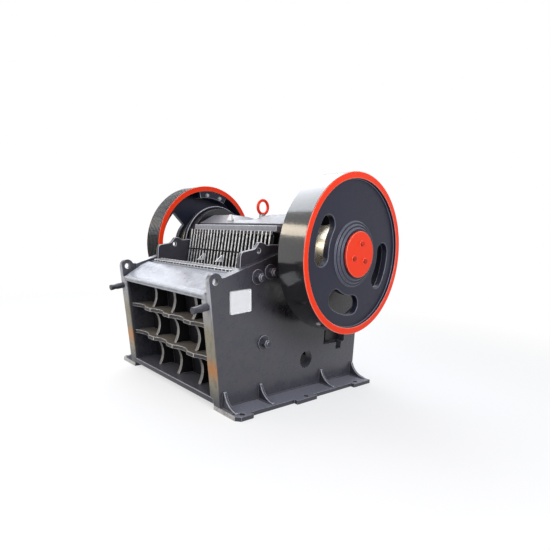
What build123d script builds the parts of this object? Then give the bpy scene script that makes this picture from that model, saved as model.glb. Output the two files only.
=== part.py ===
"""Jaw crusher: ribbed leaning front, toothed jaws, eccentric shaft and two flywheels.

Millimetres, +Z up. The feed end faces -Y and the shaft lies along X. The origin is the
centre of the foundation bolt pattern on the base plane. Pairs are made on the +X side
and mirrored. The swing jaw rests with the eccentric straight down.
"""
import math
import os

from build123d import *

# Chamber and frame widths, outwards from the middle plane
FEED_W = 1000.0          # between the cheek plates
CHEEK_T = 30.0
SIDE_T = 60.0
JAW_SIDE_GAP = 6.0       # moving pieces beside a cheek plate

# Side plates
FRAME_L = 1400.0         # length at the foot
FRONT_Y = -655.0         # front edge at the foot
LEAN = 0.181             # forward lean of the front, per unit of height
FRONT_TOP_Z = 841.0
SLOPE = 0.352            # rise of the top edge towards the shaft
EAR_R = 52.0
EAR_DROP = 23.0          # ear hole below the front top
EAR_HOLE_R = 22.0
EAR_T = 30.0             # ear, flush with the plate's outer face
EAR_NECK = 10.0          # ear to the start of the sloping edge
BAR_W = 27.0             # front bar beyond the plate's inner face
BAR_D = 26.0
HEAD_DISC_R = 325.0      # round head at the bearing
HEAD_JOIN = 32.0         # sloping edge's end inside the round head
HEAD_REAR = -25.0        # direction where the rear edge leaves the round head
REAR_TOP_Z = 700.0
PORT_R = 65.0            # round port low in the side
PORT_Y = 141.0
PORT_Z = 232.0
WINDOW_REAR = 150.0      # toggle window's rear end before the rear edge
WINDOW_L = 260.0
WINDOW_Z = 322.0
WINDOW_H = 128.0
NOTCH_L = 66.0           # notch under the toggle window
NOTCH_H = 54.0

# Feet
FOOT_T = 28.0
FLANGE_W = 145.0         # flange beyond the side plate
PAD_EXTRA = 30.0         # pads beyond the flange edge
PAD_L = 215.0            # rear pads
FRONT_PAD_L = 130.0
MID_PAD_L = 205.0
MID_PAD_LEAD = 125.0     # middle pads ahead of their bolt
PAD_CHAMFER = 30.0
BOLT_FRONT = 65.0        # front bolt from the front edge
BOLT_REAR = 155.0        # rear bolt from the rear edge
BOLT_EDGE = 35.0         # bolt centre from the pad edge
BOLT_R = 18.0
GUSSET_T = 22.0
GUSSET_H = 104.0
GUSSET_TOP_W = 16.0
GUSSET_TOE = 12.0
GUSSET_HOLLOW = 0.4      # middle of the curved edge, per width and height
GUSSET_BACK = 8.0        # toe behind the flange edge
GUSSET_END = 16.0        # end gussets from the plate ends
GUSSET_MID = 330.0       # middle gussets from the pattern centre

# Shaft
SHAFT_Y = 162.0
SHAFT_Z = 1030.0
THROW = 12.0
END_R = 60.0
JOURNAL_R = 70.0
ECC_R = 80.0
ECC_SHOULDER = 6.0       # eccentric beyond the swing jaw head
RUN_GAP = 0.3
SEAT_GAP = 0.2

# Main bearings
HOUSING_R = 350.0
HOUSING_T = 40.0
SPIGOT_R = 230.0
BEARING_WALL = 60.0
BEARING_SET = 5.0        # bearing inside the plate's inner face
COVER_R = 190.0
COVER_T = 62.0
COVER_GAP = 6.0          # cover round the journal

# Flywheels
WHEEL_R = 540.0
WHEEL_GAP = 137.0        # rim from the side plate
WHEEL_W = 210.0
RIM_T = 45.0
WEB_T = 45.0
WEB_RECESS = 22.0
HUB_R = 218.0
HUB_STEP = 22.0          # radial step of each hub ring
HUB_RINGS = 3
HUB_PROUD = 8.0          # innermost hub ring beyond the rim
HUB_GAP = 13.0           # hub from the bearing cover
HUB_BACK = 30.0          # hub ring behind the web
CAP_T = 15.0
CAP_STEP = 20.0          # cap radius inside the innermost hub ring
CAP_BOLT_R = 17.0
CAP_BOLT_T = 13.0
CAP_BOLT_RING_R = 72.0
CAP_BOLTS = 3
CAP_TURN = 84.0
SLOT_FROM_HUB = 62.0
WINDOW_FROM_HUB = 37.0
SLOT_FROM_RIM = 85.0
SLOT_HALF = 17.0         # half angle of a slot between its round ends
WINDOW_HALF = 28.0       # half angle of a sharp-cornered opening
SLOT_TURN = 257.0        # direction of the lowest slot from +Y
SLOT_STEP = 90.0
WEIGHT_T = 62.0
WEIGHT_TURN = 85.0
WEIGHT_HALF = 19.0
WEIGHT_SET = 18.0        # counterweight behind the rim edge
GROOVES = 8
GROOVE_PITCH = 25.5
GROOVE_DEEP = 16.0
GROOVE_W = 20.0
GROOVE_FLOOR_W = 11.0

# Jaws
JAW_T = 50.0
TOOTH_H = 22.0
TEETH = 25
TOOTH_FOOT = 0.14        # half of the root flat, per pitch
TOOTH_SHOULDER = 0.32    # start of the tooth tip, per pitch
FEED_GAPE = 250.0        # between the tooth tips at the top of the fixed jaw
CLOSED_SET = 40.0        # between the tooth tips at the bottom
JAW_LOW_Z = 150.0
FIXED_RISE = 54.0        # fixed jaw above the side plates' front top
SWING_RISE = 120.0       # swing jaw plates above the shaft centre
UPPER_PLATE_H = 160.0
PLATE_JOINT = 10.0
HEADER_H = 20.0          # upper plate above the round ends of its grooves
LUG_GROOVES = (6, 12, 19)
LUG_DROP = 36.0          # lifting lugs under the plate joint
LUG_H = 54.0
LUG_OUT = 60.0
LUG_T = 10.0
LUG_HOLE_R = 9.0
LUG_HOLE_IN = 20.0       # hole from the lug's front and lower edges
CHEEK_FRONT = 30.0       # cheek in front of the fixed jaw's tips
CHEEK_SHOULDER = 78.0    # cheek shoulder above the fixed jaw
CHEEK_LAP = 58.0         # cheek behind the swing jaw's tips
CHEEK_LOW_Z = 200.0
CHEEK_HOLE_R = 17.0
CHEEK_HOLE_Y = 155.0     # from the shoulder
CHEEK_HOLE_Z = 40.0
CHEEK_EDGE = (           # top edge with its ear, from the shoulder
    (0.0, 24.0), (112.0, 48.0), (128.0, 58.0), (142.0, 79.0),
    (154.0, 94.0), (176.0, 98.0), (200.0, 92.0), (232.0, 78.0), (262.0, 84.0),
)
CHEEK_TOP = 90.0         # rear end of the top edge above the shoulder
CHEEK_CORNER_R = 34.0

# Front frame
WALL_BACK = 260.0        # rear face of the front wall behind the front edges
WALL_T = 50.0
SHELF_Z = 35.0
SHELF_T = 40.0
LIP_DROP = 137.0         # lip's lower edge under the side plates' front top
LIP_H = 34.0
LIP_T = 22.0
LIP_RUN = 146.0          # first slope of the lip plate
LIP_RISE = 100.0
LIP_FLAT_RUN = 50.0      # second, flatter slope
LIP_FLAT_RISE = 22.0
RIB_T = 28.0
RIB_ROWS = 3
RIB_COLUMNS = 4
RIB_TAB = 80.0           # straight stretch of a shelf rib at a joint
RIB_EDGE = 30.0          # shelf rib behind the front edges, at an upright rib
RIB_END = 8.0            # and at a side plate
RIB_SCALLOP = 34.0
POST_EDGE = 78.0         # upright rib behind the front edges
POST_SCALLOP = 42.0
PEG_R = 23.0
PEG_L = 112.0
PEG_Z = 667.0
PEG_CHAMFER = 7.0

# Cheek bolts, from the chamber's middle and the top of the fixed jaw
CHEEK_BOLTS = ((-58.0, 48.0), (53.0, 14.0), (18.0, 487.0))
WASHER_R = 50.0
WASHER_T = 10.0
NUT_R = 28.0
NUT_T = 34.0
STUD_R = 17.0
STUD_L = 16.0

# Swing jaw body
HEAD_R = 270.0
HEAD_PAD_DROP = 150.0    # head pad under the eccentric's centre
ROOF_RISE = 60.0         # roof edge above the jaw plates
ROOF_RUN = 129.0         # ridge in front of the shaft
BODY_T = 70.0
BODY_DEPTH = 230.0
BODY_LOW_Z = 145.0
BODY_WEBS = 5
WEB_PLATE_T = 40.0
WEB_IN_HEAD = 54.0       # webs' rear edge inside the head's rear
FOOT_TOP_Z = 345.0
FOOT_HEEL_Z = 210.0
FOOT_SOLE = 130.0        # sole depth behind the jaw plates
CLAMP_H = 42.0
CLAMP_D = 57.0
CLAMP_BACK = 38.0        # clamp bar behind the tooth tips
BRASS_WALL = 60.0        # bearing rings in the head
BRASS_L = 110.0
HEAD_ROOM = 30.0         # head's bore round the eccentric between the rings
SADDLE_DROP = 50.0       # head's middle under its two bearing bosses
SADDLE_HALF = 99.0
SADDLE_RAMP = 135.0      # slope between the middle and a boss
EYE_R = 56.0
EYE_WIRE = 12.0
EYE_SUNK = 8.0           # ring in its neck
EYE_BASE_R = 46.0
EYE_BASE_H = 28.0
EYE_NECK_R = 26.0
EYE_NECK_H = 35.0

# Toggle and rear frame
MOVE_GAP = 6.0           # clear of the circling body at every angle
SOCKET_DEEP = 52.0
TOGGLE_T = 32.0
TOGGLE_Z = 282.0         # toggle's front end
TOGGLE_INSET = 24.0      # toggle inside the body's width
SEAT_T = 45.0
SEAT_H = 84.0
BEAM_FRONT = 95.0        # toggle beam behind the window's front end
RAIL_T = 30.0
REAR_WALL_T = 50.0
REAR_SET = 60.0          # rear wall's rear face before the rear edge
REAR_WALL_Z = 132.0
REAR_DROP = 20.0         # rear wall under the plates' rear top
REAR_BEAM_D = 140.0
REAR_RIBS = 3
REAR_RIB_D = 52.0
REAR_RIB_RISE = 38.0     # lowest rear rib above the springs' cups
ROD_X = 220.0            # tension rods, from the middle
ROD_Z = 196.0
ROD_R = 16.0
ROD_END = 18.0           # rod beyond its nut
FORK_R = 30.0
FORK_T = 14.0
FORK_PIN_R = 14.0
ROD_LUG_R = 52.0         # lugs of the rods on the swing jaw body
ROD_LUG_T = 30.0
ROD_LUG_OUT = 36.0       # lug hole behind the body's heel
SPRING_R = 48.0
SPRING_L = 150.0
SPRING_WALL = 16.0
CUP_R = 56.0
CUP_T = 14.0
ROD_NUT_R = 29.0
ROD_NUT_T = 30.0

CHEEK_IN = FEED_W / 2
SIDE_IN = CHEEK_IN + CHEEK_T
SIDE_OUT = SIDE_IN + SIDE_T
JAW_HALF = CHEEK_IN - JAW_SIDE_GAP
REAR_Y = FRONT_Y + FRAME_L
WINDOW_Y = REAR_Y - WINDOW_REAR - WINDOW_L
PAD_X = SIDE_OUT + FLANGE_W + PAD_EXTRA
BOLT_YS = (FRONT_Y + BOLT_FRONT, (FRONT_Y + BOLT_FRONT + REAR_Y - BOLT_REAR) / 2, REAR_Y - BOLT_REAR)
BEARING_R = JOURNAL_R + BEARING_WALL
HOUSING_OUT = SIDE_OUT + HOUSING_T
COVER_OUT = HOUSING_OUT + COVER_T
HUB_IN = COVER_OUT + HUB_GAP
WHEEL_IN = SIDE_OUT + WHEEL_GAP
WHEEL_OUT = WHEEL_IN + WHEEL_W
HUB_OUT = WHEEL_OUT + HUB_PROUD
WEB_OUT = WHEEL_OUT - WEB_RECESS
WEB_IN = WEB_OUT - WEB_T
RIM_IN_R = WHEEL_R - RIM_T
SLOT_R0 = HUB_R + SLOT_FROM_HUB
WINDOW_R0 = HUB_R + WINDOW_FROM_HUB
CAP_R = HUB_R - 2 * HUB_STEP - CAP_STEP
SLOT_R1 = RIM_IN_R - SLOT_FROM_RIM
ECC_Z = SHAFT_Z - THROW
HEAD_TOP = ECC_Z + HEAD_R
SWING_TOP_Z = SHAFT_Z + SWING_RISE
SPLIT_Z = SWING_TOP_Z - UPPER_PLATE_H
FIXED_TOP_Z = FRONT_TOP_Z + FIXED_RISE
PAD_Z = ECC_Z - HEAD_PAD_DROP
EAR_Z = FRONT_TOP_Z - EAR_DROP
LIP_LOW = FRONT_TOP_Z - LIP_DROP
LIP_TOP = LIP_LOW + LIP_H
SHELF_TOP = SHELF_Z + SHELF_T
BEAM_Y = WINDOW_Y + BEAM_FRONT
REAR_WALL_Y = REAR_Y - REAR_SET - REAR_WALL_T
PITCH = 2 * JAW_HALF / TEETH


def front(z):
    """Y of the leaning front edges at a height."""
    return FRONT_Y - (z - FOOT_T) * LEAN


def wall_front(z):
    """Y of the front wall's front face."""
    return front(z) + WALL_BACK - WALL_T


def wall_back(z):
    """Y of the front wall's rear face, where the fixed jaw plate is seated."""
    return front(z) + WALL_BACK


def depth(lean):
    """Horizontal depth of a toothed plate that leans."""
    return (JAW_T + TOOTH_H) * math.hypot(1, lean) + SEAT_GAP


def fixed_tip(z):
    """Y of the fixed jaw's tooth tips."""
    return wall_back(z) + depth(LEAN)


SWING_LEAN = ((fixed_tip(FIXED_TOP_Z) + FEED_GAPE) - (fixed_tip(JAW_LOW_Z) + CLOSED_SET)) / (
    FIXED_TOP_Z - JAW_LOW_Z)


def swing_tip(z):
    """Y of the swing jaw's tooth tips."""
    return fixed_tip(JAW_LOW_Z) + CLOSED_SET + (z - JAW_LOW_Z) * SWING_LEAN


def seat(z):
    """Y of the swing jaw body's face, where its toothed plates are seated."""
    return swing_tip(z) + depth(SWING_LEAN)


def body_back(z):
    """Y of the rear side of the swing jaw's front plate."""
    return seat(z) + BODY_T


def prism(points, x0, x1):
    """Solid of a YZ outline between two X planes."""
    face = make_face(Plane.YZ * Polyline(*points, close=True))
    return Pos(x0, 0, 0) * extrude(face, amount=x1 - x0, dir=(1, 0, 0))


def profile(edges, x0, x1):
    """Solid of a closed YZ chain of lines and arcs between two X planes."""
    face = make_face(Plane.YZ * Wire(edges))
    return Pos(x0, 0, 0) * extrude(face, amount=x1 - x0, dir=(1, 0, 0))


def disc(radius, x0, x1, y=SHAFT_Y, z=SHAFT_Z):
    """Cylinder along X between two planes."""
    return Pos((x0 + x1) / 2, y, z) * Rot(0, 90, 0) * Cylinder(radius, x1 - x0)


def ring(outer, inner, x0, x1, y=SHAFT_Y, z=SHAFT_Z):
    """Tube along X between two planes."""
    return disc(outer, x0, x1, y, z) - disc(inner, x0 - 1, x1 + 1, y, z)


def block(x, y, z):
    """Box between three pairs of limits."""
    size = [b - a for a, b in (x, y, z)]
    centre = [(a + b) / 2 for a, b in (x, y, z)]
    return Pos(*centre) * Box(*size)


def polar(radius, angle):
    """Point in the shaft's YZ plane, the angle in degrees from +Y."""
    a = math.radians(angle)
    return SHAFT_Y + radius * math.cos(a), SHAFT_Z + radius * math.sin(a)


def sector(r0, r1, middle, half, x0, x1):
    """Ring sector about the shaft between two X planes."""
    a, b = middle - half, middle + half
    edges = [
        Line(polar(r0, a), polar(r1, a)),
        ThreePointArc(polar(r1, a), polar(r1, middle), polar(r1, b)),
        Line(polar(r1, b), polar(r0, b)),
        ThreePointArc(polar(r0, b), polar(r0, middle), polar(r0, a)),
    ]
    return profile(edges, x0, x1)


def mirrored(shape):
    """The same piece on the -X side."""
    pieces = [mirror(solid, about=Plane.YZ) for solid in shape.solids()]
    return pieces[0] if len(pieces) == 1 else Compound(pieces)


def both(shape):
    """A piece and its mirror image."""
    return Compound([*shape.solids(), *mirrored(shape).solids()])


def side_plate():
    """Side plate with its lifting ear, bearing head, openings and toggle rail."""
    ear_y = front(EAR_Z) + EAR_R * math.hypot(1, LEAN)
    dip_y = ear_y + EAR_R + EAR_NECK
    join_y = SHAFT_Y - HEAD_DISC_R + HEAD_JOIN
    rear = polar(HEAD_DISC_R, HEAD_REAR)
    outline = [
        (FRONT_Y, FOOT_T),
        (front(EAR_Z), EAR_Z),
        (ear_y, FRONT_TOP_Z),
        (dip_y, FRONT_TOP_Z),
        (join_y, FRONT_TOP_Z + (join_y - dip_y) * SLOPE),
        (SHAFT_Y, SHAFT_Z),
        rear,
        (REAR_Y, REAR_TOP_Z),
        (REAR_Y, FOOT_T),
    ]
    plate = prism(outline, SIDE_IN, SIDE_OUT)
    plate += disc(HEAD_DISC_R, SIDE_IN, SIDE_OUT)
    plate += disc(EAR_R, SIDE_IN, SIDE_OUT, ear_y, EAR_Z)
    thin = (SIDE_IN - 1, SIDE_OUT - EAR_T)
    plate -= block(thin, (ear_y - 2 * EAR_R, dip_y), (LIP_TOP, FRONT_TOP_Z + EAR_R))
    cut = (SIDE_IN - 1, SIDE_OUT + 1)
    plate -= disc(EAR_HOLE_R, *cut, ear_y, EAR_Z)
    plate -= disc(SPIGOT_R + SEAT_GAP, *cut)
    plate -= disc(PORT_R, *cut, PORT_Y, PORT_Z)
    plate -= block(cut, (WINDOW_Y, WINDOW_Y + WINDOW_L), (WINDOW_Z, WINDOW_Z + WINDOW_H))
    notch_end = WINDOW_Y + WINDOW_L - BOLT_EDGE
    plate -= block(cut, (notch_end - NOTCH_L, notch_end), (WINDOW_Z - NOTCH_H, WINDOW_Z + 1))
    rail = block((SIDE_IN - RAIL_T, SIDE_IN), (WINDOW_Y, WINDOW_Y + WINDOW_L), (WINDOW_Z - RAIL_T, WINDOW_Z))
    return plate + rail + front_bar(0)


def front_bar(gap):
    """Bar along a side plate's front edge, or the space for it with a gap round it."""
    low, high = SHELF_TOP - gap, LIP_LOW + gap
    back = BAR_D + gap
    outline = [(front(low), low), (front(low) + back, low), (front(high) + back, high), (front(high), high)]
    return prism(outline, SIDE_IN - BAR_W - gap, SIDE_IN)


def foot():
    """Foot flange with three bolt pads and a chamfered front corner."""
    plate = block((SIDE_IN, SIDE_OUT + FLANGE_W), (FRONT_Y, REAR_Y), (0, FOOT_T))
    pads = ((FRONT_Y, FRONT_PAD_L), (BOLT_YS[1] - MID_PAD_LEAD, MID_PAD_L), (REAR_Y - PAD_L, PAD_L))
    for y, length in pads:
        plate += block((SIDE_IN, PAD_X), (y, y + length), (0, FOOT_T))
    corner = [(PAD_X, FRONT_Y), (PAD_X, FRONT_Y + PAD_CHAMFER), (PAD_X - PAD_CHAMFER, FRONT_Y)]
    plate -= extrude(make_face(Polyline(*corner, close=True)), amount=FOOT_T, dir=(0, 0, 1))
    for y in BOLT_YS:
        plate -= Pos(PAD_X - BOLT_EDGE, y, FOOT_T / 2) * Cylinder(BOLT_R, FOOT_T + 2)
    return plate


def gussets():
    """Curved gussets between a side plate and its foot."""
    toe_x = SIDE_OUT + FLANGE_W - GUSSET_BACK
    top_z = FOOT_T + GUSSET_H
    low, high = (SIDE_OUT, FOOT_T), (SIDE_OUT, top_z)
    brow = (SIDE_OUT + GUSSET_TOP_W, top_z)
    toe, tip = (toe_x, FOOT_T + GUSSET_TOE), (toe_x, FOOT_T)
    mid = (SIDE_OUT + FLANGE_W * GUSSET_HOLLOW, FOOT_T + GUSSET_H * GUSSET_HOLLOW)
    edges = [Line(low, high), Line(high, brow), ThreePointArc(brow, mid, toe), Line(toe, tip), Line(tip, low)]
    face = make_face(Plane.XZ * Wire(edges))
    plate = extrude(face, amount=GUSSET_T, dir=(0, 1, 0))
    ends = (FRONT_Y + GUSSET_END, REAR_Y - GUSSET_END - GUSSET_T)
    middle = BOLT_YS[1]
    return [Pos(0, y, 0) * plate
            for y in (ends[0], middle - GUSSET_MID, middle + GUSSET_MID - GUSSET_T, ends[1])]


def flywheel(openings):
    """Flywheel with its rim, recessed web, stepped hub and the given web openings."""
    body = disc(WHEEL_R, WHEEL_IN, WHEEL_OUT)
    body -= disc(RIM_IN_R, WHEEL_IN - 1, WEB_IN)
    body -= disc(RIM_IN_R, WEB_OUT, WHEEL_OUT + 1)
    rise = (HUB_OUT - WEB_OUT) / HUB_RINGS
    body += disc(HUB_R, WEB_IN - HUB_BACK, WEB_OUT + rise)
    body += disc(HUB_R - HUB_STEP, HUB_IN, WEB_OUT + 2 * rise)
    body += disc(HUB_R - 2 * HUB_STEP, WEB_IN, HUB_OUT)
    for opening in openings:
        body -= opening
    return body - disc(END_R + SEAT_GAP, HUB_IN - 1, HUB_OUT + 1)


def slot_angles():
    """Directions of the three web openings; the fourth place is solid."""
    return SLOT_TURN - SLOT_STEP, SLOT_TURN, SLOT_TURN + SLOT_STEP


def kidney_slots():
    """Round-ended web openings of the plain flywheel."""
    cuts = []
    middle, half = (SLOT_R0 + SLOT_R1) / 2, (SLOT_R1 - SLOT_R0) / 2
    for angle in slot_angles():
        cut = sector(SLOT_R0, SLOT_R1, angle, SLOT_HALF, WEB_IN - 1, WEB_OUT + 1)
        for side in (-SLOT_HALF, SLOT_HALF):
            cut += disc(half, WEB_IN - 1, WEB_OUT + 1, *polar(middle, angle + side))
        cuts.append(cut)
    return cuts


def sharp_slots():
    """Square-cornered web openings of the grooved flywheel."""
    return [sector(WINDOW_R0, SLOT_R1, a, WINDOW_HALF, WEB_IN - 1, WEB_OUT + 1) for a in slot_angles()]


def belt_grooves():
    """Tapered ring cuts of the belt grooves, across the rim."""
    middle = (WHEEL_IN + WHEEL_OUT) / 2
    top, floor = SHAFT_Z + WHEEL_R, SHAFT_Z + WHEEL_R - GROOVE_DEEP
    half, low = GROOVE_W / 2, GROOVE_FLOOR_W / 2
    section = [(-half, top), (-half, top + 1), (half, top + 1), (half, top), (low, floor), (-low, floor)]
    axis = Axis((0, SHAFT_Y, SHAFT_Z), (1, 0, 0))
    cuts = []
    for i in range(GROOVES):
        x = middle + (i - (GROOVES - 1) / 2) * GROOVE_PITCH
        outline = Polyline(*[(x + dx, SHAFT_Y, z) for dx, z in section], close=True)
        cuts.append(revolve(make_face(outline), axis=axis))
    return cuts


def counterweight():
    """Block inside a rim, about opposite the lowest web opening."""
    r1 = RIM_IN_R - SEAT_GAP
    return sector(r1 - WEIGHT_T, r1, WEIGHT_TURN, WEIGHT_HALF, WHEEL_IN + WEIGHT_SET, WEB_IN)


def eccentric_shaft():
    """Shaft with main journals, eccentric journal and flywheel ends."""
    shoulder = JAW_HALF + ECC_SHOULDER
    ends = disc(END_R, HUB_IN, HUB_OUT) + disc(JOURNAL_R, shoulder, HUB_IN)
    return disc(ECC_R, -shoulder, shoulder, SHAFT_Y, ECC_Z) + ends + mirrored(ends)


def hub_cap():
    """End cap with three bolt heads."""
    cap = disc(CAP_R, HUB_OUT, HUB_OUT + CAP_T)
    for i in range(CAP_BOLTS):
        y, z = polar(CAP_BOLT_RING_R, CAP_TURN + i * 360 / CAP_BOLTS)
        cap += disc(CAP_BOLT_R, HUB_OUT + CAP_T, HUB_OUT + CAP_T + CAP_BOLT_T, y, z)
    return cap


def toothed(low_z, high_z, tip_y, lean, facing):
    """Toothed plate on its leaning seat; facing 1 has its teeth towards +Y."""
    points = [(-JAW_HALF, -JAW_T - TOOTH_H), (-JAW_HALF, -TOOTH_H)]
    for i in range(TEETH):
        x = -JAW_HALF + i * PITCH
        points += [
            (x + PITCH * TOOTH_FOOT, -TOOTH_H),
            (x + PITCH * TOOTH_SHOULDER, 0),
            (x + PITCH * (1 - TOOTH_SHOULDER), 0),
            (x + PITCH * (1 - TOOTH_FOOT), -TOOTH_H),
        ]
    points += [(JAW_HALF, -TOOTH_H), (JAW_HALF, -JAW_T - TOOTH_H)]
    face = make_face(Polyline(*[(x, facing * y) for x, y in points], close=True))
    plate = extrude(face, amount=(high_z - low_z) * math.hypot(1, lean), dir=(0, 0, 1))
    return Pos(0, tip_y, low_z) * Rot(-math.degrees(math.atan(lean)), 0, 0) * plate


def header():
    """Top of the swing jaw's upper plate, where its grooves end round."""
    lean = math.hypot(1, SWING_LEAN)
    height = (SWING_TOP_Z - SPLIT_Z) * lean
    tip_r, root_r = PITCH * TOOTH_SHOULDER, PITCH * TOOTH_FOOT
    strip_h = HEADER_H + tip_r
    strip = block((-JAW_HALF, JAW_HALF), (0, TOOTH_H), (height - strip_h, height))
    end = Rot(90, 0, 0) * Cone(tip_r, root_r, TOOTH_H)
    for i in range(TEETH + 1):
        x = i * PITCH - JAW_HALF
        strip -= Pos(x, TOOTH_H / 2, height - strip_h) * Rot(180, 0, 0) * end
    return Pos(0, swing_tip(SPLIT_Z), SPLIT_Z) * Rot(-math.degrees(math.atan(SWING_LEAN)), 0, 0) * strip


def jaw_lugs():
    """Lifting lugs set in grooves of the lower plate of the swing jaw."""
    high = SPLIT_Z - LUG_DROP
    low = high - LUG_H
    root = TOOTH_H * math.hypot(1, SWING_LEAN) - SEAT_GAP
    outline = [
        (swing_tip(low) - LUG_OUT, low),
        (swing_tip(low) + root, low),
        (swing_tip(high) + root, high),
        (swing_tip(high), high),
    ]
    lugs = []
    for groove in LUG_GROOVES:
        x = groove * PITCH - JAW_HALF
        lug = prism(outline, x - LUG_T / 2, x + LUG_T / 2)
        hole_y = swing_tip(low) - LUG_OUT + 2 * LUG_HOLE_IN
        lugs.append(lug - disc(LUG_HOLE_R, x - LUG_T, x + LUG_T, hole_y, low + LUG_HOLE_IN))
    return lugs


def lip_line():
    """Outer side of the feed lip plate in section, from its lower front edge."""
    y = front(LIP_TOP)
    return [
        (front(LIP_LOW), LIP_LOW),
        (y, LIP_TOP),
        (y + LIP_RUN, LIP_TOP + LIP_RISE),
        (y + LIP_RUN + LIP_FLAT_RUN, LIP_TOP + LIP_RISE + LIP_FLAT_RISE),
    ]


def lip_underside():
    """Inner side of the feed lip plate in section, in the same order."""
    a, b, c, d = lip_line()
    slope = LIP_RISE / LIP_RUN
    drop = LIP_T * math.hypot(1, slope)
    inner_y = b[0] + LIP_T
    return [
        (a[0] + LIP_T, a[1]),
        (inner_y, b[1] + LIP_T * slope - drop),
        (c[0], c[1] - drop),
        (d[0], d[1] - drop),
    ]


def lip_plate():
    """Bent plate over the front frame that guides the feed onto the jaws."""
    top, under = lip_line(), lip_underside()
    end = wall_back(top[3][1])
    outline = top + [(end, top[3][1]), (end, under[3][1])] + under[::-1]
    return prism(outline, -SIDE_IN, SIDE_IN)


def above_lip():
    """Space over the lip plate's underside, for trimming what it covers."""
    under = lip_underside()
    high = FIXED_TOP_Z + LIP_RISE
    rear = wall_back(FIXED_TOP_Z) + WALL_BACK
    ahead = front(high) - WALL_BACK
    outline = [(ahead, under[0][1]), *under, (rear, under[3][1]), (rear, high), (ahead, high)]
    return prism(outline, -SIDE_IN - 1, SIDE_IN + 1)


def front_wall():
    """Leaning wall that backs the fixed jaw plate."""
    high = FIXED_TOP_Z
    outline = [
        (wall_front(SHELF_Z), SHELF_Z),
        (wall_back(SHELF_Z), SHELF_Z),
        (wall_back(high), high),
        (wall_front(high), high),
    ]
    return prism(outline, -SIDE_IN, SIDE_IN) - above_lip()


def front_shelf():
    """Bottom shelf of the front frame."""
    outline = [
        (front(SHELF_Z), SHELF_Z),
        (wall_front(SHELF_Z), SHELF_Z),
        (wall_front(SHELF_TOP), SHELF_TOP),
        (front(SHELF_TOP), SHELF_TOP),
    ]
    return prism(outline, -SIDE_IN, SIDE_IN)


def cell_space():
    """Space in front of the wall, over the shelf and under the lip plate."""
    high = FIXED_TOP_Z
    outline = [
        (front(SHELF_TOP), SHELF_TOP),
        (wall_front(SHELF_TOP), SHELF_TOP),
        (wall_front(high), high),
        (front(high), high),
    ]
    return prism(outline, -SIDE_IN, SIDE_IN) - above_lip() - both(front_bar(SEAT_GAP))


def rib_heights():
    """Heights of the shelf ribs' middles."""
    step = (LIP_TOP - SHELF_TOP) / RIB_ROWS
    return [SHELF_TOP + step * (i + 1) for i in range(RIB_ROWS - 1)]


def rib_columns():
    """X of the upright ribs' middles."""
    step = 2 * SIDE_IN / RIB_COLUMNS
    return [-SIDE_IN + step * (i + 1) for i in range(RIB_COLUMNS - 1)]


def shelf_ribs():
    """Horizontal ribs whose front edge is scalloped between the upright ribs."""
    space = cell_space()
    stops = [-SIDE_IN, *rib_columns(), SIDE_IN]
    ribs = []
    for z in rib_heights():
        end, edge = front(z) + RIB_END, front(z) + RIB_EDGE
        edges = []
        for left, right in zip(stops, stops[1:]):
            a = (left, end) if left == -SIDE_IN else (left + RIB_TAB / 2, edge)
            b = (right, end) if right == SIDE_IN else (right - RIB_TAB / 2, edge)
            if left > -SIDE_IN:
                edges.append(Line((left, edge), a))
            edges.append(ThreePointArc(a, ((a[0] + b[0]) / 2, edge + RIB_SCALLOP), b))
            if right < SIDE_IN:
                edges.append(Line(b, (right, edge)))
        rear = wall_back(z)
        edges += [Line((SIDE_IN, end), (SIDE_IN, rear)), Line((SIDE_IN, rear), (-SIDE_IN, rear))]
        edges.append(Line((-SIDE_IN, rear), (-SIDE_IN, end)))
        rib = extrude(make_face(Wire(edges)), amount=RIB_T, dir=(0, 0, 1))
        ribs.append((Pos(0, 0, z - RIB_T / 2) * rib) & space)
    return ribs


def upright_ribs():
    """Upright ribs between the shelf ribs, each with a scalloped front edge."""
    space = cell_space()
    levels = rib_heights()
    bands = [(a + RIB_T / 2, b - RIB_T / 2) for a, b in zip(levels, levels[1:])]
    bands = [(SHELF_TOP, levels[0] - RIB_T / 2), *bands, (levels[-1] + RIB_T / 2, LIP_TOP)]
    ribs = []
    for x in rib_columns():
        for low, high in bands:
            top = FIXED_TOP_Z if high == LIP_TOP else high
            a, b = (front(low) + POST_EDGE, low), (front(high) + POST_EDGE, high)
            mid_z = (low + high) / 2
            mid = (front(mid_z) + POST_EDGE + POST_SCALLOP, mid_z)
            edges = [ThreePointArc(a, mid, b)]
            if top != high:
                edges.append(Line(b, (b[0], top)))
            rear = wall_back(low)
            edges += [Line((b[0], top), (rear, top)), Line((rear, top), (rear, low)), Line((rear, low), a)]
            ribs.append(profile(edges, x - RIB_T / 2, x + RIB_T / 2) & space)
    return ribs


def peg():
    """Round peg standing square on a side plate's leaning front edge."""
    turn = Rot(90 + math.degrees(math.atan(LEAN)), 0, 0)
    rod = Pos(0, 0, PEG_L / 2) * Cylinder(PEG_R, PEG_L)
    rod = chamfer(rod.edges().sort_by(Axis.Z)[-1], PEG_CHAMFER)
    return Pos(SIDE_OUT - SIDE_T / 2, front(PEG_Z) - SEAT_GAP, PEG_Z) * turn * rod


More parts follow.
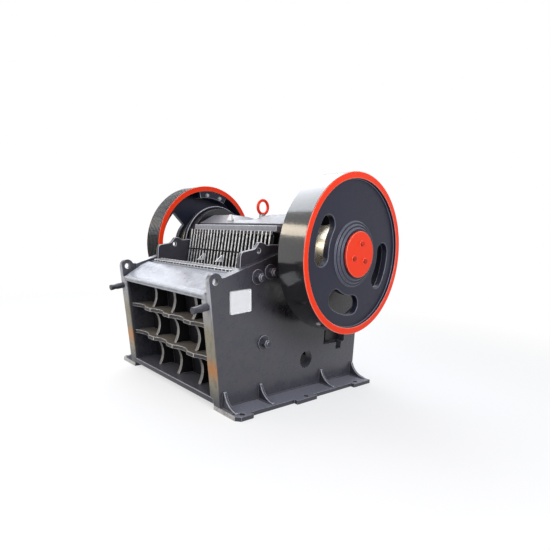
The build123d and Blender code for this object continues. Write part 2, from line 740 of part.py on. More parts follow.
def cheek_plate():
    """Wear plate on a side plate's inner face, with a holed ear on top."""
    front_y = fixed_tip(FIXED_TOP_Z) - CHEEK_FRONT
    meet_z = FOOT_T + (FRONT_Y + WALL_BACK - front_y) / LEAN
    shoulder_z = FIXED_TOP_Z + CHEEK_SHOULDER
    top_z = shoulder_z + CHEEK_TOP
    outline = [
        (wall_back(CHEEK_LOW_Z) + SEAT_GAP, CHEEK_LOW_Z),
        (front_y + SEAT_GAP, meet_z),
        *[(front_y + SEAT_GAP + y, shoulder_z + z) for y, z in CHEEK_EDGE],
        (swing_tip(top_z) + CHEEK_LAP, top_z),
        (swing_tip(CHEEK_LOW_Z) + CHEEK_LAP, CHEEK_LOW_Z),
    ]
    hole = disc(CHEEK_HOLE_R, CHEEK_IN - 1, SIDE_IN + 1, front_y + CHEEK_HOLE_Y, shoulder_z + CHEEK_HOLE_Z)
    plate = prism(outline, CHEEK_IN, SIDE_IN)
    edges = plate.edges().filter_by(Axis.X)
    corner = edges.sort_by_distance((CHEEK_IN, front_y, shoulder_z + CHEEK_EDGE[0][1]))
    return fillet(corner[0], CHEEK_CORNER_R) - hole


def cheek_bolts():
    """Washers, nuts and stud ends of the cheek plate bolts on a side plate."""
    bolts = []
    for dy, drop in CHEEK_BOLTS:
        z = FIXED_TOP_Z - drop
        y = (fixed_tip(z) + swing_tip(z)) / 2 + dy
        nut = SIDE_OUT + WASHER_T
        bolt = disc(WASHER_R, SIDE_OUT, nut, y, z) + disc(NUT_R, nut, nut + NUT_T, y, z)
        bolts.append(bolt + disc(STUD_R, nut + NUT_T, nut + NUT_T + STUD_L, y, z))
    return bolts


def pitman_head():
    """Round head of the swing jaw body with its sloping roof and bearing bores."""
    clamp_rear = swing_tip(SWING_TOP_Z) + CLAMP_BACK + CLAMP_D
    outline = [
        (seat(PAD_Z), PAD_Z),
        (seat(SWING_TOP_Z), SWING_TOP_Z),
        (clamp_rear, SWING_TOP_Z),
        (clamp_rear, SWING_TOP_Z + ROOF_RISE),
        (SHAFT_Y - ROOF_RUN, HEAD_TOP),
        (SHAFT_Y, HEAD_TOP),
        (SHAFT_Y, ECC_Z),
        (body_back(PAD_Z), PAD_Z),
    ]
    head = prism(outline, -JAW_HALF, JAW_HALF) + disc(HEAD_R, -JAW_HALF, JAW_HALF, SHAFT_Y, ECC_Z)
    before = [
        (seat(0), 0),
        (seat(SWING_TOP_Z), SWING_TOP_Z),
        (clamp_rear, SWING_TOP_Z),
        (clamp_rear, HEAD_TOP + HEAD_R),
        (seat(0) - HEAD_R, HEAD_TOP + HEAD_R),
        (seat(0) - HEAD_R, 0),
    ]
    head -= prism(before, -JAW_HALF - 1, JAW_HALF + 1)
    bore = ECC_R + BRASS_WALL + SEAT_GAP
    end = disc(bore, JAW_HALF - BRASS_L, JAW_HALF + 1, SHAFT_Y, ECC_Z)
    head -= saddle()
    return head - both(end) - disc(ECC_R + HEAD_ROOM, -JAW_HALF, JAW_HALF, SHAFT_Y, ECC_Z)


def saddle():
    """Cut over the head's middle, between its bearing bosses."""
    low, high = HEAD_TOP - SADDLE_DROP, HEAD_TOP + SADDLE_DROP
    outline = [(-SADDLE_HALF, low), (SADDLE_HALF, low)]
    for side in (1, -1):
        run = (SADDLE_HALF + SADDLE_RAMP) * side
        outline += [(run, HEAD_TOP), (run, high)][::side]
    face = make_face(Polyline(*[(x, SHAFT_Y - 2 * HEAD_R, z) for x, z in outline], close=True))
    return extrude(face, amount=4 * HEAD_R, dir=(0, 1, 0))


def pitman_bearings():
    """Bearing rings between the head and the eccentric journal."""
    return both(ring(ECC_R + BRASS_WALL, ECC_R + RUN_GAP, JAW_HALF - BRASS_L, JAW_HALF, SHAFT_Y, ECC_Z))


def pitman_front():
    """Front plate of the swing jaw body under its head."""
    outline = [
        (seat(BODY_LOW_Z), BODY_LOW_Z),
        (seat(PAD_Z), PAD_Z),
        (body_back(PAD_Z), PAD_Z),
        (body_back(BODY_LOW_Z), BODY_LOW_Z),
    ]
    return prism(outline, -JAW_HALF, JAW_HALF)


def pitman_webs():
    """Upright webs behind the front plate, from the foot to the head."""
    outline = [
        (body_back(FOOT_TOP_Z), FOOT_TOP_Z),
        (body_back(PAD_Z), PAD_Z),
        (SHAFT_Y + HEAD_R - WEB_IN_HEAD, PAD_Z),
        (heel(), FOOT_TOP_Z),
    ]
    head = disc(HEAD_R + SEAT_GAP, -JAW_HALF - 1, JAW_HALF + 1, SHAFT_Y, ECC_Z)
    step = (2 * JAW_HALF - WEB_PLATE_T) / (BODY_WEBS - 1)
    web = prism(outline, -JAW_HALF, WEB_PLATE_T - JAW_HALF) - head
    return [Pos(i * step, 0, 0) * web for i in range(BODY_WEBS)]


def heel():
    """Y of the rear side of the swing jaw body's foot."""
    return seat(FOOT_TOP_Z) + BODY_DEPTH


def rod_pin_y():
    """Y of the tension rods' pins."""
    return heel() + ROD_LUG_OUT


def rod_lugs():
    """Lugs behind the foot, whose holes clear the rods' pins at every angle."""
    lugs = []
    y, z = rod_pin_y(), ROD_Z - THROW
    for x in (-ROD_X, ROD_X):
        x0, x1 = x - ROD_LUG_T / 2, x + ROD_LUG_T / 2
        lug = disc(ROD_LUG_R, x0, x1, y, z) + block((x0, x1), (heel() - SOCKET_DEEP, y), (z, FOOT_HEEL_Z))
        lugs.append(lug - disc(FORK_PIN_R + THROW + MOVE_GAP, x0 - 1, x1 + 1, y, z))
    return lugs


def pitman_foot():
    """Foot of the swing jaw body with the toggle socket and the rod lugs."""
    outline = [
        (body_back(BODY_LOW_Z), BODY_LOW_Z),
        (body_back(FOOT_TOP_Z), FOOT_TOP_Z),
        (heel(), FOOT_TOP_Z),
        (heel(), FOOT_HEEL_Z),
        (seat(BODY_LOW_Z) + FOOT_SOLE, BODY_LOW_Z),
    ]
    low = TOGGLE_Z - TOGGLE_T / 2 - 2 * THROW - MOVE_GAP
    high = toggle_line(heel()) + TOGGLE_T + MOVE_GAP
    socket = block((-JAW_HALF - 1, JAW_HALF + 1), (heel() - SOCKET_DEEP, heel() + 1), (low, high))
    piece = prism(outline, -JAW_HALF, JAW_HALF) - socket
    for lug in rod_lugs():
        piece += lug
    return piece


def toggle_start():
    """Y of the toggle plate's front end, clear of the socket at every angle."""
    return heel() - SOCKET_DEEP + THROW + MOVE_GAP


def toggle_line(y):
    """Height of the toggle plate's middle line at a Y."""
    end = BEAM_Y - SEAT_T
    rise = WINDOW_Z + WINDOW_H / 2 - TOGGLE_Z
    return TOGGLE_Z + (y - toggle_start()) / (end - toggle_start()) * rise


def toggle_plate():
    """Toggle plate, seated on the frame and clear of the swing jaw's socket."""
    start, end = toggle_start(), BEAM_Y - SEAT_T
    half = TOGGLE_T / 2
    outline = [(start, toggle_line(start) - half), (end, toggle_line(end) - half)]
    outline += [(end, toggle_line(end) + half), (start, toggle_line(start) + half)]
    return prism(outline, TOGGLE_INSET - JAW_HALF, JAW_HALF - TOGGLE_INSET)


def toggle_seat():
    """Seat of the toggle plate on the toggle beam."""
    middle = toggle_line(BEAM_Y - SEAT_T)
    return block((-JAW_HALF, JAW_HALF), (BEAM_Y - SEAT_T, BEAM_Y), (middle - SEAT_H / 2, middle + SEAT_H / 2))


def toggle_beam():
    """Beam that holds the toggle seat between the side plates."""
    return block((-SIDE_IN, SIDE_IN), (BEAM_Y, WINDOW_Y + WINDOW_L), (WINDOW_Z, WINDOW_Z + WINDOW_H))


def rear_wall():
    """Rear wall with the holes of the tension rods."""
    y0, y1 = REAR_WALL_Y, REAR_WALL_Y + REAR_WALL_T
    wall = block((-SIDE_IN, SIDE_IN), (y0, y1), (REAR_WALL_Z, REAR_TOP_Z - REAR_DROP))
    for x in (-ROD_X, ROD_X):
        wall -= rod_piece(x, ROD_R + MOVE_GAP, y0 - 1, y1 + 1)
    for rib in rear_ribs():
        wall += rib
    return wall


def rear_ribs():
    """Ribs across and up the rear wall's rear face, above the springs."""
    y0 = REAR_WALL_Y + REAR_WALL_T
    across = (y0, y0 + REAR_RIB_D)
    low, high = ROD_Z + CUP_R + REAR_RIB_RISE, REAR_TOP_Z - REAR_DROP
    step = (high - low - RIB_T) / (REAR_RIBS - 1)
    levels = [low + i * step for i in range(REAR_RIBS)]
    ribs = [block((-SIDE_IN, SIDE_IN), across, (z, z + RIB_T)) for z in levels]
    return ribs + [block((x - RIB_T / 2, x + RIB_T / 2), across, (low, high)) for x in rib_columns()]


def rear_beam():
    """Low beam between the side plates under the rear wall."""
    y1 = REAR_WALL_Y + REAR_WALL_T
    return block((-SIDE_IN, SIDE_IN), (y1 - REAR_BEAM_D, y1), (FOOT_T, REAR_WALL_Z))


def rod_piece(x, radius, y0, y1):
    """Cylinder along a tension rod's line."""
    return Pos(x, (y0 + y1) / 2, ROD_Z) * Rot(90, 0, 0) * Cylinder(radius, y1 - y0)


def tension_rods():
    """Rods with a fork and pin at the swing jaw's foot, and a cup and nut behind."""
    pin_y = rod_pin_y()
    inner = ROD_LUG_T / 2 + MOVE_GAP
    outer = inner + FORK_T
    bridge = pin_y + ROD_LUG_R + THROW + MOVE_GAP
    cup_y = REAR_WALL_Y + REAR_WALL_T + SPRING_L
    nut_y = cup_y + CUP_T
    rods = []
    for x in (-ROD_X, ROD_X):
        rod = rod_piece(x, ROD_R, bridge, nut_y + ROD_NUT_T + ROD_END)
        rod += rod_piece(x, CUP_R, cup_y, nut_y) + rod_piece(x, ROD_NUT_R, nut_y, nut_y + ROD_NUT_T)
        rod += block((x - outer, x + outer), (bridge, bridge + FORK_T), (ROD_Z - FORK_R, ROD_Z + FORK_R))
        rod += disc(FORK_PIN_R, x - outer, x + outer, pin_y, ROD_Z)
        for x0, x1 in ((x - outer, x - inner), (x + inner, x + outer)):
            rod += disc(FORK_R, x0, x1, pin_y, ROD_Z)
            rod += block((x0, x1), (pin_y, bridge + FORK_T), (ROD_Z - FORK_R, ROD_Z + FORK_R))
        rods.append(rod)
    return rods


def tension_springs():
    """Outer shape of the springs between the rear wall and the rods' cups."""
    y0 = REAR_WALL_Y + REAR_WALL_T
    y1 = y0 + SPRING_L
    return [rod_piece(x, SPRING_R, y0, y1) - rod_piece(x, SPRING_R - SPRING_WALL, y0 - 1, y1 + 1)
            for x in (-ROD_X, ROD_X)]


def clamp_bar():
    """Bar over the upper toothed plate."""
    y0 = swing_tip(SWING_TOP_Z) + CLAMP_BACK
    z0 = SWING_TOP_Z + SEAT_GAP
    return block((-JAW_HALF, JAW_HALF), (y0, y0 + CLAMP_D), (z0, z0 + CLAMP_H))


def eye_bolt():
    """Lifting eye on the head's saddle."""
    low = HEAD_TOP - SADDLE_DROP
    top = low + EYE_BASE_H + EYE_NECK_H
    bolt = Pos(0, SHAFT_Y, low + EYE_BASE_H / 2) * Cylinder(EYE_BASE_R, EYE_BASE_H)
    bolt += Pos(0, SHAFT_Y, top - EYE_NECK_H / 2) * Cylinder(EYE_NECK_R, EYE_NECK_H)
    middle = top + EYE_R + EYE_WIRE - EYE_SUNK
    return bolt + Pos(0, SHAFT_Y, middle) * Rot(0, 90, 0) * Torus(EYE_R, EYE_WIRE)


def bearing_housing():
    """Bearing disc outside a side plate, with its spigot through the plate."""
    body = disc(HOUSING_R, SIDE_OUT, HOUSING_OUT) + disc(SPIGOT_R, SIDE_IN, SIDE_OUT)
    return body - disc(BEARING_R + SEAT_GAP, SIDE_IN - 1, HOUSING_OUT + 1)


def build():
    """All pieces by node name."""
    pairs = {
        "side_plate": side_plate(),
        "foot": foot(),
        "gussets": Compound(gussets()),
        "bearing_housing": bearing_housing(),
        "main_bearing": ring(BEARING_R, JOURNAL_R + RUN_GAP, SIDE_IN + BEARING_SET, HOUSING_OUT),
        "bearing_cover": ring(COVER_R, JOURNAL_R + COVER_GAP, HOUSING_OUT, COVER_OUT),
        "cheek_plate": cheek_plate(),
        "cheek_bolts": Compound(cheek_bolts()),
        "front_peg": peg(),
        "counterweight": counterweight(),
        "hub_cap": hub_cap(),
    }
    nodes = {}
    for name, shape in pairs.items():
        nodes[name + "_right"] = shape
        nodes[name + "_left"] = mirrored(shape)
    nodes["flywheel_right"] = flywheel(kidney_slots())
    nodes["flywheel_left"] = mirrored(flywheel(sharp_slots() + belt_grooves()))
    nodes["eccentric_shaft"] = eccentric_shaft()
    nodes["front_wall"] = front_wall()
    nodes["front_shelf"] = front_shelf()
    nodes["front_ribs_horizontal"] = Compound(shelf_ribs())
    nodes["front_ribs_vertical"] = Compound(upright_ribs())
    nodes["feed_lip_plate"] = lip_plate()
    nodes["fixed_jaw_plate"] = toothed(JAW_LOW_Z, FIXED_TOP_Z, fixed_tip(JAW_LOW_Z), -LEAN, 1)
    upper = toothed(SPLIT_Z, SWING_TOP_Z, swing_tip(SPLIT_Z), SWING_LEAN, -1)
    nodes["jaw_plate_upper"] = upper + header()
    lower = toothed(JAW_LOW_Z, SPLIT_Z - PLATE_JOINT, swing_tip(JAW_LOW_Z), SWING_LEAN, -1)
    nodes["jaw_plate_lower"] = Compound([lower, *jaw_lugs()])
    nodes["pitman"] = pitman_head() + pitman_front() + pitman_foot()
    nodes["pitman_webs"] = Compound(pitman_webs())
    nodes["pitman_bearings"] = pitman_bearings()
    nodes["jaw_clamp_bar"] = clamp_bar()
    nodes["eye_bolt"] = eye_bolt()
    nodes["toggle_plate"] = toggle_plate()
    nodes["toggle_seat"] = toggle_seat()
    nodes["toggle_beam"] = toggle_beam()
    nodes["rear_wall"] = rear_wall()
    nodes["rear_beam"] = rear_beam()
    nodes["tension_rods"] = Compound(tension_rods())
    nodes["tension_springs"] = Compound(tension_springs())
    return nodes


if __name__ == "__main__":
    os.makedirs("parts", exist_ok=True)
    for name, shape in build().items():
        export_step(shape, f"parts/{name}.step")
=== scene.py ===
"""Looks of a jaw crusher: rounded edges, paint, rust, fasteners, welds, light and camera."""
import logging
import math
from collections.abc import Callable, Iterable
from dataclasses import dataclass
from enum import Enum, IntEnum

import bpy
from bpy.types import Material, MeshPolygon, Node, NodeSocket, NodeTree, Object
from mathutils import Matrix, Vector


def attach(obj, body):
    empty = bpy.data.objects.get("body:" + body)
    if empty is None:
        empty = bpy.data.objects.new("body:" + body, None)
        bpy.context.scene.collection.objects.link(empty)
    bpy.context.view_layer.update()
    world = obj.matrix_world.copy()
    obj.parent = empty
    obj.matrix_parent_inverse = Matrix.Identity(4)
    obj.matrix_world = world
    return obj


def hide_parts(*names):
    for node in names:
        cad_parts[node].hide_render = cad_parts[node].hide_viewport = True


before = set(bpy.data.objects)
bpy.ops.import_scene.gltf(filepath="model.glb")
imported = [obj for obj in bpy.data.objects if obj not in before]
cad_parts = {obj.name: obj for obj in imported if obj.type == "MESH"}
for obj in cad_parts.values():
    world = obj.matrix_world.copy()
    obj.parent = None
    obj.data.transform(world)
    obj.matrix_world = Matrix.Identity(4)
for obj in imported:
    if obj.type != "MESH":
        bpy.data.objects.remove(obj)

LOG = logging.getLogger("jaw_crusher")
MM = 0.001
WHITE = (1.0, 1.0, 1.0, 1.0)

# Main places of the machine, in metres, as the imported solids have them
SHAFT_Y, SHAFT_Z = 0.162, 1.030
SIDE_OUT, HOUSING_OUT = 0.590, 0.630
FRONT_Y, REAR_Y, FOOT_T, LEAN = -0.655, 0.745, 0.028, 0.181
RIM_IN_R, HUB_R = 0.495, 0.218
WHEEL_IN, WHEEL_OUT, WEB_IN = 0.727, 0.937, 0.870
CAP_FACE = 0.960
TEETH, JAW_HALF = 25, 0.494
TOOTH_PITCH = 2 * JAW_HALF / TEETH
SWING_TIP_Y, SWING_LEAN = -0.31884, 0.10088
# Within this distance a corner counts as lying on a face or circle
NEAR = 1 * MM
# Corners nearer than this are merged, flatter seams between faces go, and sharper edges are rounded
MERGE, FLAT, SHARP = 0.02 * MM, math.radians(0.5), math.radians(32)

# Material numbers of a finished piece: its faces, its rounded edges and one more finish
FACES, EDGES, THIRD = 0, 1, 2

Point = tuple[float, float, float]
Chooser = Callable[[MeshPolygon, list[Vector]], int]


def swing_tip(z: float) -> float:
    """Return Y of the swing jaw's tooth tips at a height in metres."""
    return SWING_TIP_Y + z * SWING_LEAN


def front_edge(z: float) -> float:
    """Return Y of the side plates' leaning front edges at a height in metres."""
    return FRONT_Y - (z - FOOT_T) * LEAN


def around_shaft(radius: float, angle: float) -> tuple[float, float]:
    """Return Y and Z at a radius about the shaft, the angle in degrees from +Y."""
    turn = math.radians(angle)
    return SHAFT_Y + radius * math.cos(turn), SHAFT_Z + radius * math.sin(turn)


def radius_of(point: Vector) -> float:
    """Return a point's distance from the shaft's line."""
    return math.hypot(point.y - SHAFT_Y, point.z - SHAFT_Z)


def linear(colour: str) -> tuple[float, float, float, float]:
    """Turn an sRGB hex colour into linear RGBA.

    Args:
        colour: Six hex digits after a hash sign.

    Returns:
        Linear red, green, blue and an alpha of one.
    """
    parts = [int(colour[i:i + 2], 16) / 255 for i in (1, 3, 5)]
    red, green, blue = (p / 12.92 if p <= 0.04045 else ((p + 0.055) / 1.055) ** 2.4 for p in parts)
    return red, green, blue, 1.0


def set_inputs(node: Node, inputs: dict) -> None:
    """Set the input values and links of a node.

    Args:
        node: The node.
        inputs: By the input's name or index, a value, an output socket, or a node for its first live output.
    """
    for name, value in inputs.items():
        if isinstance(value, Node):
            value = next(output for output in value.outputs if output.enabled)
        if isinstance(value, NodeSocket):
            node.id_data.links.new(value, node.inputs[name])
        else:
            node.inputs[name].default_value = value


def add_node(tree: NodeTree, kind: str, inputs: dict | None = None, **settings: object) -> Node:
    """Add a node with its settings and links.

    Args:
        tree: The node tree that gets the node.
        kind: The node's type name after "ShaderNode".
        inputs: Values, sockets and nodes for its inputs, as set_inputs takes them.
        **settings: Its attributes by name.

    Returns:
        The new node.
    """
    node = tree.nodes.new(f"ShaderNode{kind}")
    for name, value in settings.items():
        setattr(node, name, value)
    set_inputs(node, inputs or {})
    return node


def new_shader(name: str) -> tuple[Material, NodeTree, Node]:
    """Start a material.

    Args:
        name: Name of the material.

    Returns:
        The material, its node tree and its Principled shader.
    """
    material = bpy.data.materials.new(name)
    material.use_nodes = True
    tree = material.node_tree
    return material, tree, tree.nodes["Principled BSDF"]


class Side(Enum):
    """The machine's two sides; the value is the sign of X."""

    RIGHT = 1
    LEFT = -1

    @property
    def tag(self) -> str:
        """Return the side's name as the nodes spell it."""
        return self.name.lower()


class Body(Enum):
    """Bodies that pieces ride on."""

    FRAME = "frame"
    SHAFT = "shaft"
    SWING_JAW = "swing_jaw"


class Slot(Enum):
    """The record's material slots."""

    BODY = "body_paint"
    WHEEL = "wheel_paint"
    RED = "red_paint"
    WEAR = "wear_steel"
    BRIGHT = "bright_steel"


class WheelPaint(IntEnum):
    """Material numbers of a flywheel; ROUNDED only marks its rounded edges until they are painted."""

    BLACK = 0
    ROUNDED = 1
    CHARCOAL = 2
    RED = 3
    RED_EDGE_HIGHLIGHT = 4
    CHARCOAL_EDGE_HIGHLIGHT = 5
    TURNED = 6


@dataclass(frozen=True)
class Enamel:
    """Sprayed machine enamel over steel, with patches of a second colour (wear, and in some finishes painted
    light), a third colour on faces that look up (a dusting, and painted light from above) and fine orange
    peel.
    """

    name: str
    colour: str
    # The second colour's patches are wear, and in some finishes painted light; the third colour, on faces
    # that look up, is a dusting and painted light from above
    wear_and_painted_light: str
    dust_and_top_light: str
    roughness: float = 0.36
    specular: float = 0.5
    coat: float = 0.0
    wear_and_painted_light_share: float = 0.35
    dust_and_top_light_share: float = 0.3
    patch_mm: float = 160.0
    peel_mm: float = 9.0
    peel_depth_mm: float = 0.25
    metallic: float = 0.0

    def build(self) -> Material:
        """Make the material.

        Returns:
            The material.
        """
        material, tree, shader = new_shader(self.name)
        place = add_node(tree, "TexCoord").outputs["Object"]
        patches = add_node(tree, "TexNoise", {"Vector": place, "Scale": 1 / (self.patch_mm * MM),
                                              "Detail": 6.0, "Roughness": 0.62})
        spots = add_node(tree, "TexNoise", {"Vector": place, "Scale": 8 / (self.patch_mm * MM),
                                            "Detail": 4.0, "Roughness": 0.7})
        both = add_node(tree, "Math", {0: patches, 1: spots}, operation="MULTIPLY")
        wear_and_painted_light = add_node(tree, "MapRange", {"Value": both, "From Min": 0.24, "From Max": 0.40,
                                           "To Max": self.wear_and_painted_light_share})
        base = add_node(tree, "Mix", {"Factor": wear_and_painted_light, 6: linear(self.colour), 7: linear(self.wear_and_painted_light)},
                        data_type="RGBA")
        # Faces that look up take the third colour: a dusting, and painted light from above
        normal = add_node(tree, "NewGeometry").outputs["Normal"]
        up = add_node(tree, "SeparateXYZ", {0: normal}).outputs["Z"]
        level = add_node(tree, "MapRange", {"Value": up, "From Min": 0.35, "From Max": 1.0,
                                            "To Max": self.dust_and_top_light_share})
        top_light_and_dust_share = add_node(tree, "Math", {0: level, 1: spots}, operation="MULTIPLY")
        top_light_and_dust_colour = add_node(tree, "Mix", {"Factor": top_light_and_dust_share, 6: base, 7: linear(self.dust_and_top_light)}, data_type="RGBA")
        rough = add_node(tree, "MapRange", {"Value": spots, "From Min": 0.3, "From Max": 0.7,
                                            "To Min": self.roughness - 0.06, "To Max": self.roughness + 0.12})
        peel = add_node(tree, "TexNoise", {"Vector": place, "Scale": 1 / (self.peel_mm * MM), "Detail": 3.0})
        bump = add_node(tree, "Bump", {"Height": peel, "Strength": 0.5, "Distance": self.peel_depth_mm * MM})
        set_inputs(shader, {"Base Color": top_light_and_dust_colour, "Roughness": rough, "Normal": bump,
                            "Specular IOR Level": self.specular, "Metallic": self.metallic,
                            "Coat Weight": self.coat, "Coat Roughness": 0.1})
        material.diffuse_color = linear(self.colour)
        return material


@dataclass(frozen=True)
class RustAndPaintedLightEnamel:
    """Frame enamel with streaks on the front edge, of rust and of painted reflections of warm ground and sky,
    and painted shade of the wheels round the shaft.
    """

    name: str
    enamel: Enamel
    # Of the colours below, the khaki and the pale grey are painted reflections of warm ground and sky, the
    # orange is rust and the near black is painted shade of the wheels
    warm_reflection: str
    rust: str
    bright: str
    wheel_shade: str
    wheel_shade_share: float = 0.85
    wheel_shade_near: float = 0.46
    wheel_shade_far: float = 0.80
    edge_mm: tuple[float, float] = (3.0, 10.0)
    streak_mm: Point = (1000 / 34, 1000 / 34, 125.0)

    def build(self) -> Material:
        """Make the material from a copy of the plain enamel's.

        Returns:
            The material.
        """
        material = material_of(self.enamel).copy()
        material.name = self.name
        tree = material.node_tree
        shader = tree.nodes["Principled BSDF"]
        paint = shader.inputs["Base Color"].links[0].from_socket
        place = add_node(tree, "TexCoord").outputs["Object"]
        # Painted shade of the wheels round the shaft, then rust and painted reflections in streaks along the
        # front edge
        wheel_shaded = add_node(tree, "Mix", {"Factor": self.painted_shade_share(tree, place), 6: paint,
                                        7: linear(self.wheel_shade)}, data_type="RGBA")
        streaked = add_node(tree, "Mix", {"Factor": self.edge_streak_share(tree, place), 6: wheel_shaded,
                                         7: self.rust_and_reflection_colour(tree, place)}, data_type="RGBA")
        set_inputs(shader, {"Base Color": streaked})
        return material

    def painted_shade_share(self, tree: NodeTree, place: NodeSocket) -> Node:
        """Add the share of painted shade of the wheels, which thins with the distance from the shaft.

        Args:
            tree: The material's node tree.
            place: The place on the piece.

        Returns:
            The node that gives the share.
        """
        off = add_node(tree, "VectorMath", {0: place, 1: (0.0, SHAFT_Y, SHAFT_Z)}, operation="SUBTRACT")
        radial = add_node(tree, "VectorMath", {0: off, 1: (0.0, 1.0, 1.0)}, operation="MULTIPLY")
        radius = add_node(tree, "VectorMath", {0: radial}, operation="LENGTH")
        return add_node(tree, "MapRange", {"Value": radius, "From Min": self.wheel_shade_near,
                                           "From Max": self.wheel_shade_far, "To Min": self.wheel_shade_share,
                                           "To Max": 0.0}, interpolation_type="SMOOTHSTEP")

    def edge_streak_share(self, tree: NodeTree, place: NodeSocket) -> Node:
        """Add the share of the streaks along the leaning front edge, where rust and painted reflections show.

        Args:
            tree: The material's node tree.
            place: The place on the piece.

        Returns:
            The node that gives the share.
        """
        axes = add_node(tree, "SeparateXYZ", {0: place}).outputs
        lean = add_node(tree, "Math", {0: axes["Z"], 1: LEAN, 2: -FRONT_Y - FOOT_T * LEAN},
                        operation="MULTIPLY_ADD")
        behind = add_node(tree, "Math", {0: axes["Y"], 1: lean}, operation="ADD")
        edge = add_node(tree, "MapRange", {"Value": behind, "From Min": self.edge_mm[0] * MM,
                                           "From Max": self.edge_mm[1] * MM, "To Min": 1.0, "To Max": 0.0})
        streaks = add_node(tree, "Mapping", {"Vector": place,
                                             "Scale": tuple(1 / (size * MM) for size in self.streak_mm)})
        noise = add_node(tree, "TexNoise", {"Vector": streaks, "Scale": 1.0, "Detail": 7.0,
                                            "Roughness": 0.65})
        share = add_node(tree, "MapRange", {"Value": noise, "From Min": 0.22, "From Max": 0.5})
        return add_node(tree, "Math", {0: share, 1: edge}, operation="MULTIPLY")

    def rust_and_reflection_colour(self, tree: NodeTree, place: NodeSocket) -> Node:
        """Add the colours of the front-edge streaks by their height in metres: khaki and pale grey painted
        reflections of warm ground and sky, and rust.

        Args:
            tree: The material's node tree.
            place: The place on the piece.

        Returns:
            The node that gives the colour.
        """
        height = add_node(tree, "SeparateXYZ", {0: place}).outputs["Z"]
        colours = add_node(tree, "ValToRGB", {"Fac": height})
        ramp = colours.color_ramp
        # Khaki and pale grey here are painted reflections of warm ground and sky; the orange is rust
        stops = ((0.06, self.enamel.colour), (0.17, self.warm_reflection), (0.27, self.rust), (0.36, self.warm_reflection),
                 (0.50, self.warm_reflection), (0.66, self.bright), (0.84, self.bright))
        while len(ramp.elements) < len(stops):
            ramp.elements.new(0.5)
        for element, (where, colour) in zip(ramp.elements, stops):
            element.position = where
            element.color = linear(colour)
        return colours


@dataclass(frozen=True)
class JawSteel:
    """Cast manganese steel: near black in the grooves, painted shade, and near white on the tooth crests,
    wear and a painted highlight.
    """

    name: str
    # The first colour, near black in the grooves, is painted shade; the second, near white on the crests, is
    # wear and a painted highlight
    groove_shade: str
    tip_highlight: str
    roughness: float = 0.42
    metallic: float = 0.2
    grain_mm: float = 1000 / 45
    grain_depth_mm: float = 1.2

    def build(self) -> Material:
        """Make the material, its bright share a wave with one crest on each tooth.

        Returns:
            The material.
        """
        material, tree, shader = new_shader(self.name)
        place = add_node(tree, "TexCoord").outputs["Object"]
        across = add_node(tree, "SeparateXYZ", {0: place}).outputs["X"]
        turns = add_node(tree, "Math", {0: across, 1: math.tau / TOOTH_PITCH,
                                        2: math.tau * JAW_HALF / TOOTH_PITCH + math.pi},
                         operation="MULTIPLY_ADD")
        wave = add_node(tree, "Math", {0: turns}, operation="COSINE")
        grain = add_node(tree, "TexNoise", {"Vector": place, "Scale": 1 / (self.grain_mm * MM),
                                            "Detail": 6.0, "Roughness": 0.7})
        # Crest light: wear and a painted highlight on each tooth
        crest_light = add_node(tree, "Math", {0: wave, 1: 0.5, 2: grain}, operation="MULTIPLY_ADD")
        share = add_node(tree, "MapRange", {"Value": crest_light, "From Min": 0.74, "From Max": 1.02})
        steel = add_node(tree, "Mix", {"Factor": share, 6: linear(self.groove_shade), 7: linear(self.tip_highlight)},
                         data_type="RGBA")
        bump = add_node(tree, "Bump", {"Height": grain, "Strength": 0.35,
                                       "Distance": self.grain_depth_mm * MM})
        set_inputs(shader, {"Base Color": steel, "Normal": bump, "Metallic": self.metallic,
                            "Roughness": self.roughness})
        material.diffuse_color = linear(self.tip_highlight)
        return material


Finish = Enamel | RustAndPaintedLightEnamel | JawSteel

# Sprayed alkyd enamel, dark blue-grey, semi-gloss: broad soft highlights, lighter on what faces up: a
# dusting, and painted light from above
FRAME_ENAMEL = Enamel("alkyd_enamel_blue_grey", "#302f36", "#424147", "#85868f", dust_and_top_light_share=0.6)
# Frame enamel on the large side plates: broad, faint lighter clouds that are a painted sheen, and a soft
# gloss
PLATE_ENAMEL = Enamel("alkyd_enamel_side_plates", "#43434a", "#504e4f", "#85868f", roughness=0.27,
                      dust_and_top_light_share=0.6, wear_and_painted_light_share=0.6, patch_mm=600.0, peel_mm=25.0, peel_depth_mm=0.12)
# Frame enamel in the front's cells, painted dull and nearly black: painted shade down in the deep cells
CELL_SHADE_ENAMEL = Enamel("alkyd_enamel_painted_cell_shade", "#19171b", "#211e20", "#4a4748", roughness=0.5, specular=0.3)
# Frame enamel on rounded edges, painted lighter: painted highlights, pale lines as if they caught the light
EDGE_HIGHLIGHT_ENAMEL = Enamel("alkyd_enamel_edge_highlights", "#8d8e97", "#b4b5ba", "#cfd0d6", roughness=0.28,
                     dust_and_top_light_share=0.7)
# Frame enamel on the foot flanges, dulled, and much lighter where it looks up: a dusting, and painted light
# from above
FOOT_ENAMEL = Enamel("alkyd_enamel_dusty_and_top_lit", "#33333a", "#45454c", "#a3a4b0", roughness=0.42, dust_and_top_light_share=1.0,
                     patch_mm=110.0)
# Frame enamel on the front ribs, with wear and dirt in patches where stones and hands reach it, and much
# lighter on top: a dusting, and painted light from above
RIB_ENAMEL = Enamel("alkyd_enamel_weathered_and_top_lit", "#2b282d", "#5d564f", "#aaa195", roughness=0.45,
                    wear_and_painted_light_share=0.6, dust_and_top_light_share=0.9, patch_mm=90.0)
# Edges of the ribs and front ends of the feet, painted near white in broken streaks: painted highlights
RIB_EDGE_HIGHLIGHT = Enamel("alkyd_enamel_rib_edge_highlights", "#c2bfba", "#353231", "#e0dcd4", roughness=0.3,
                  wear_and_painted_light_share=0.9, patch_mm=75.0)
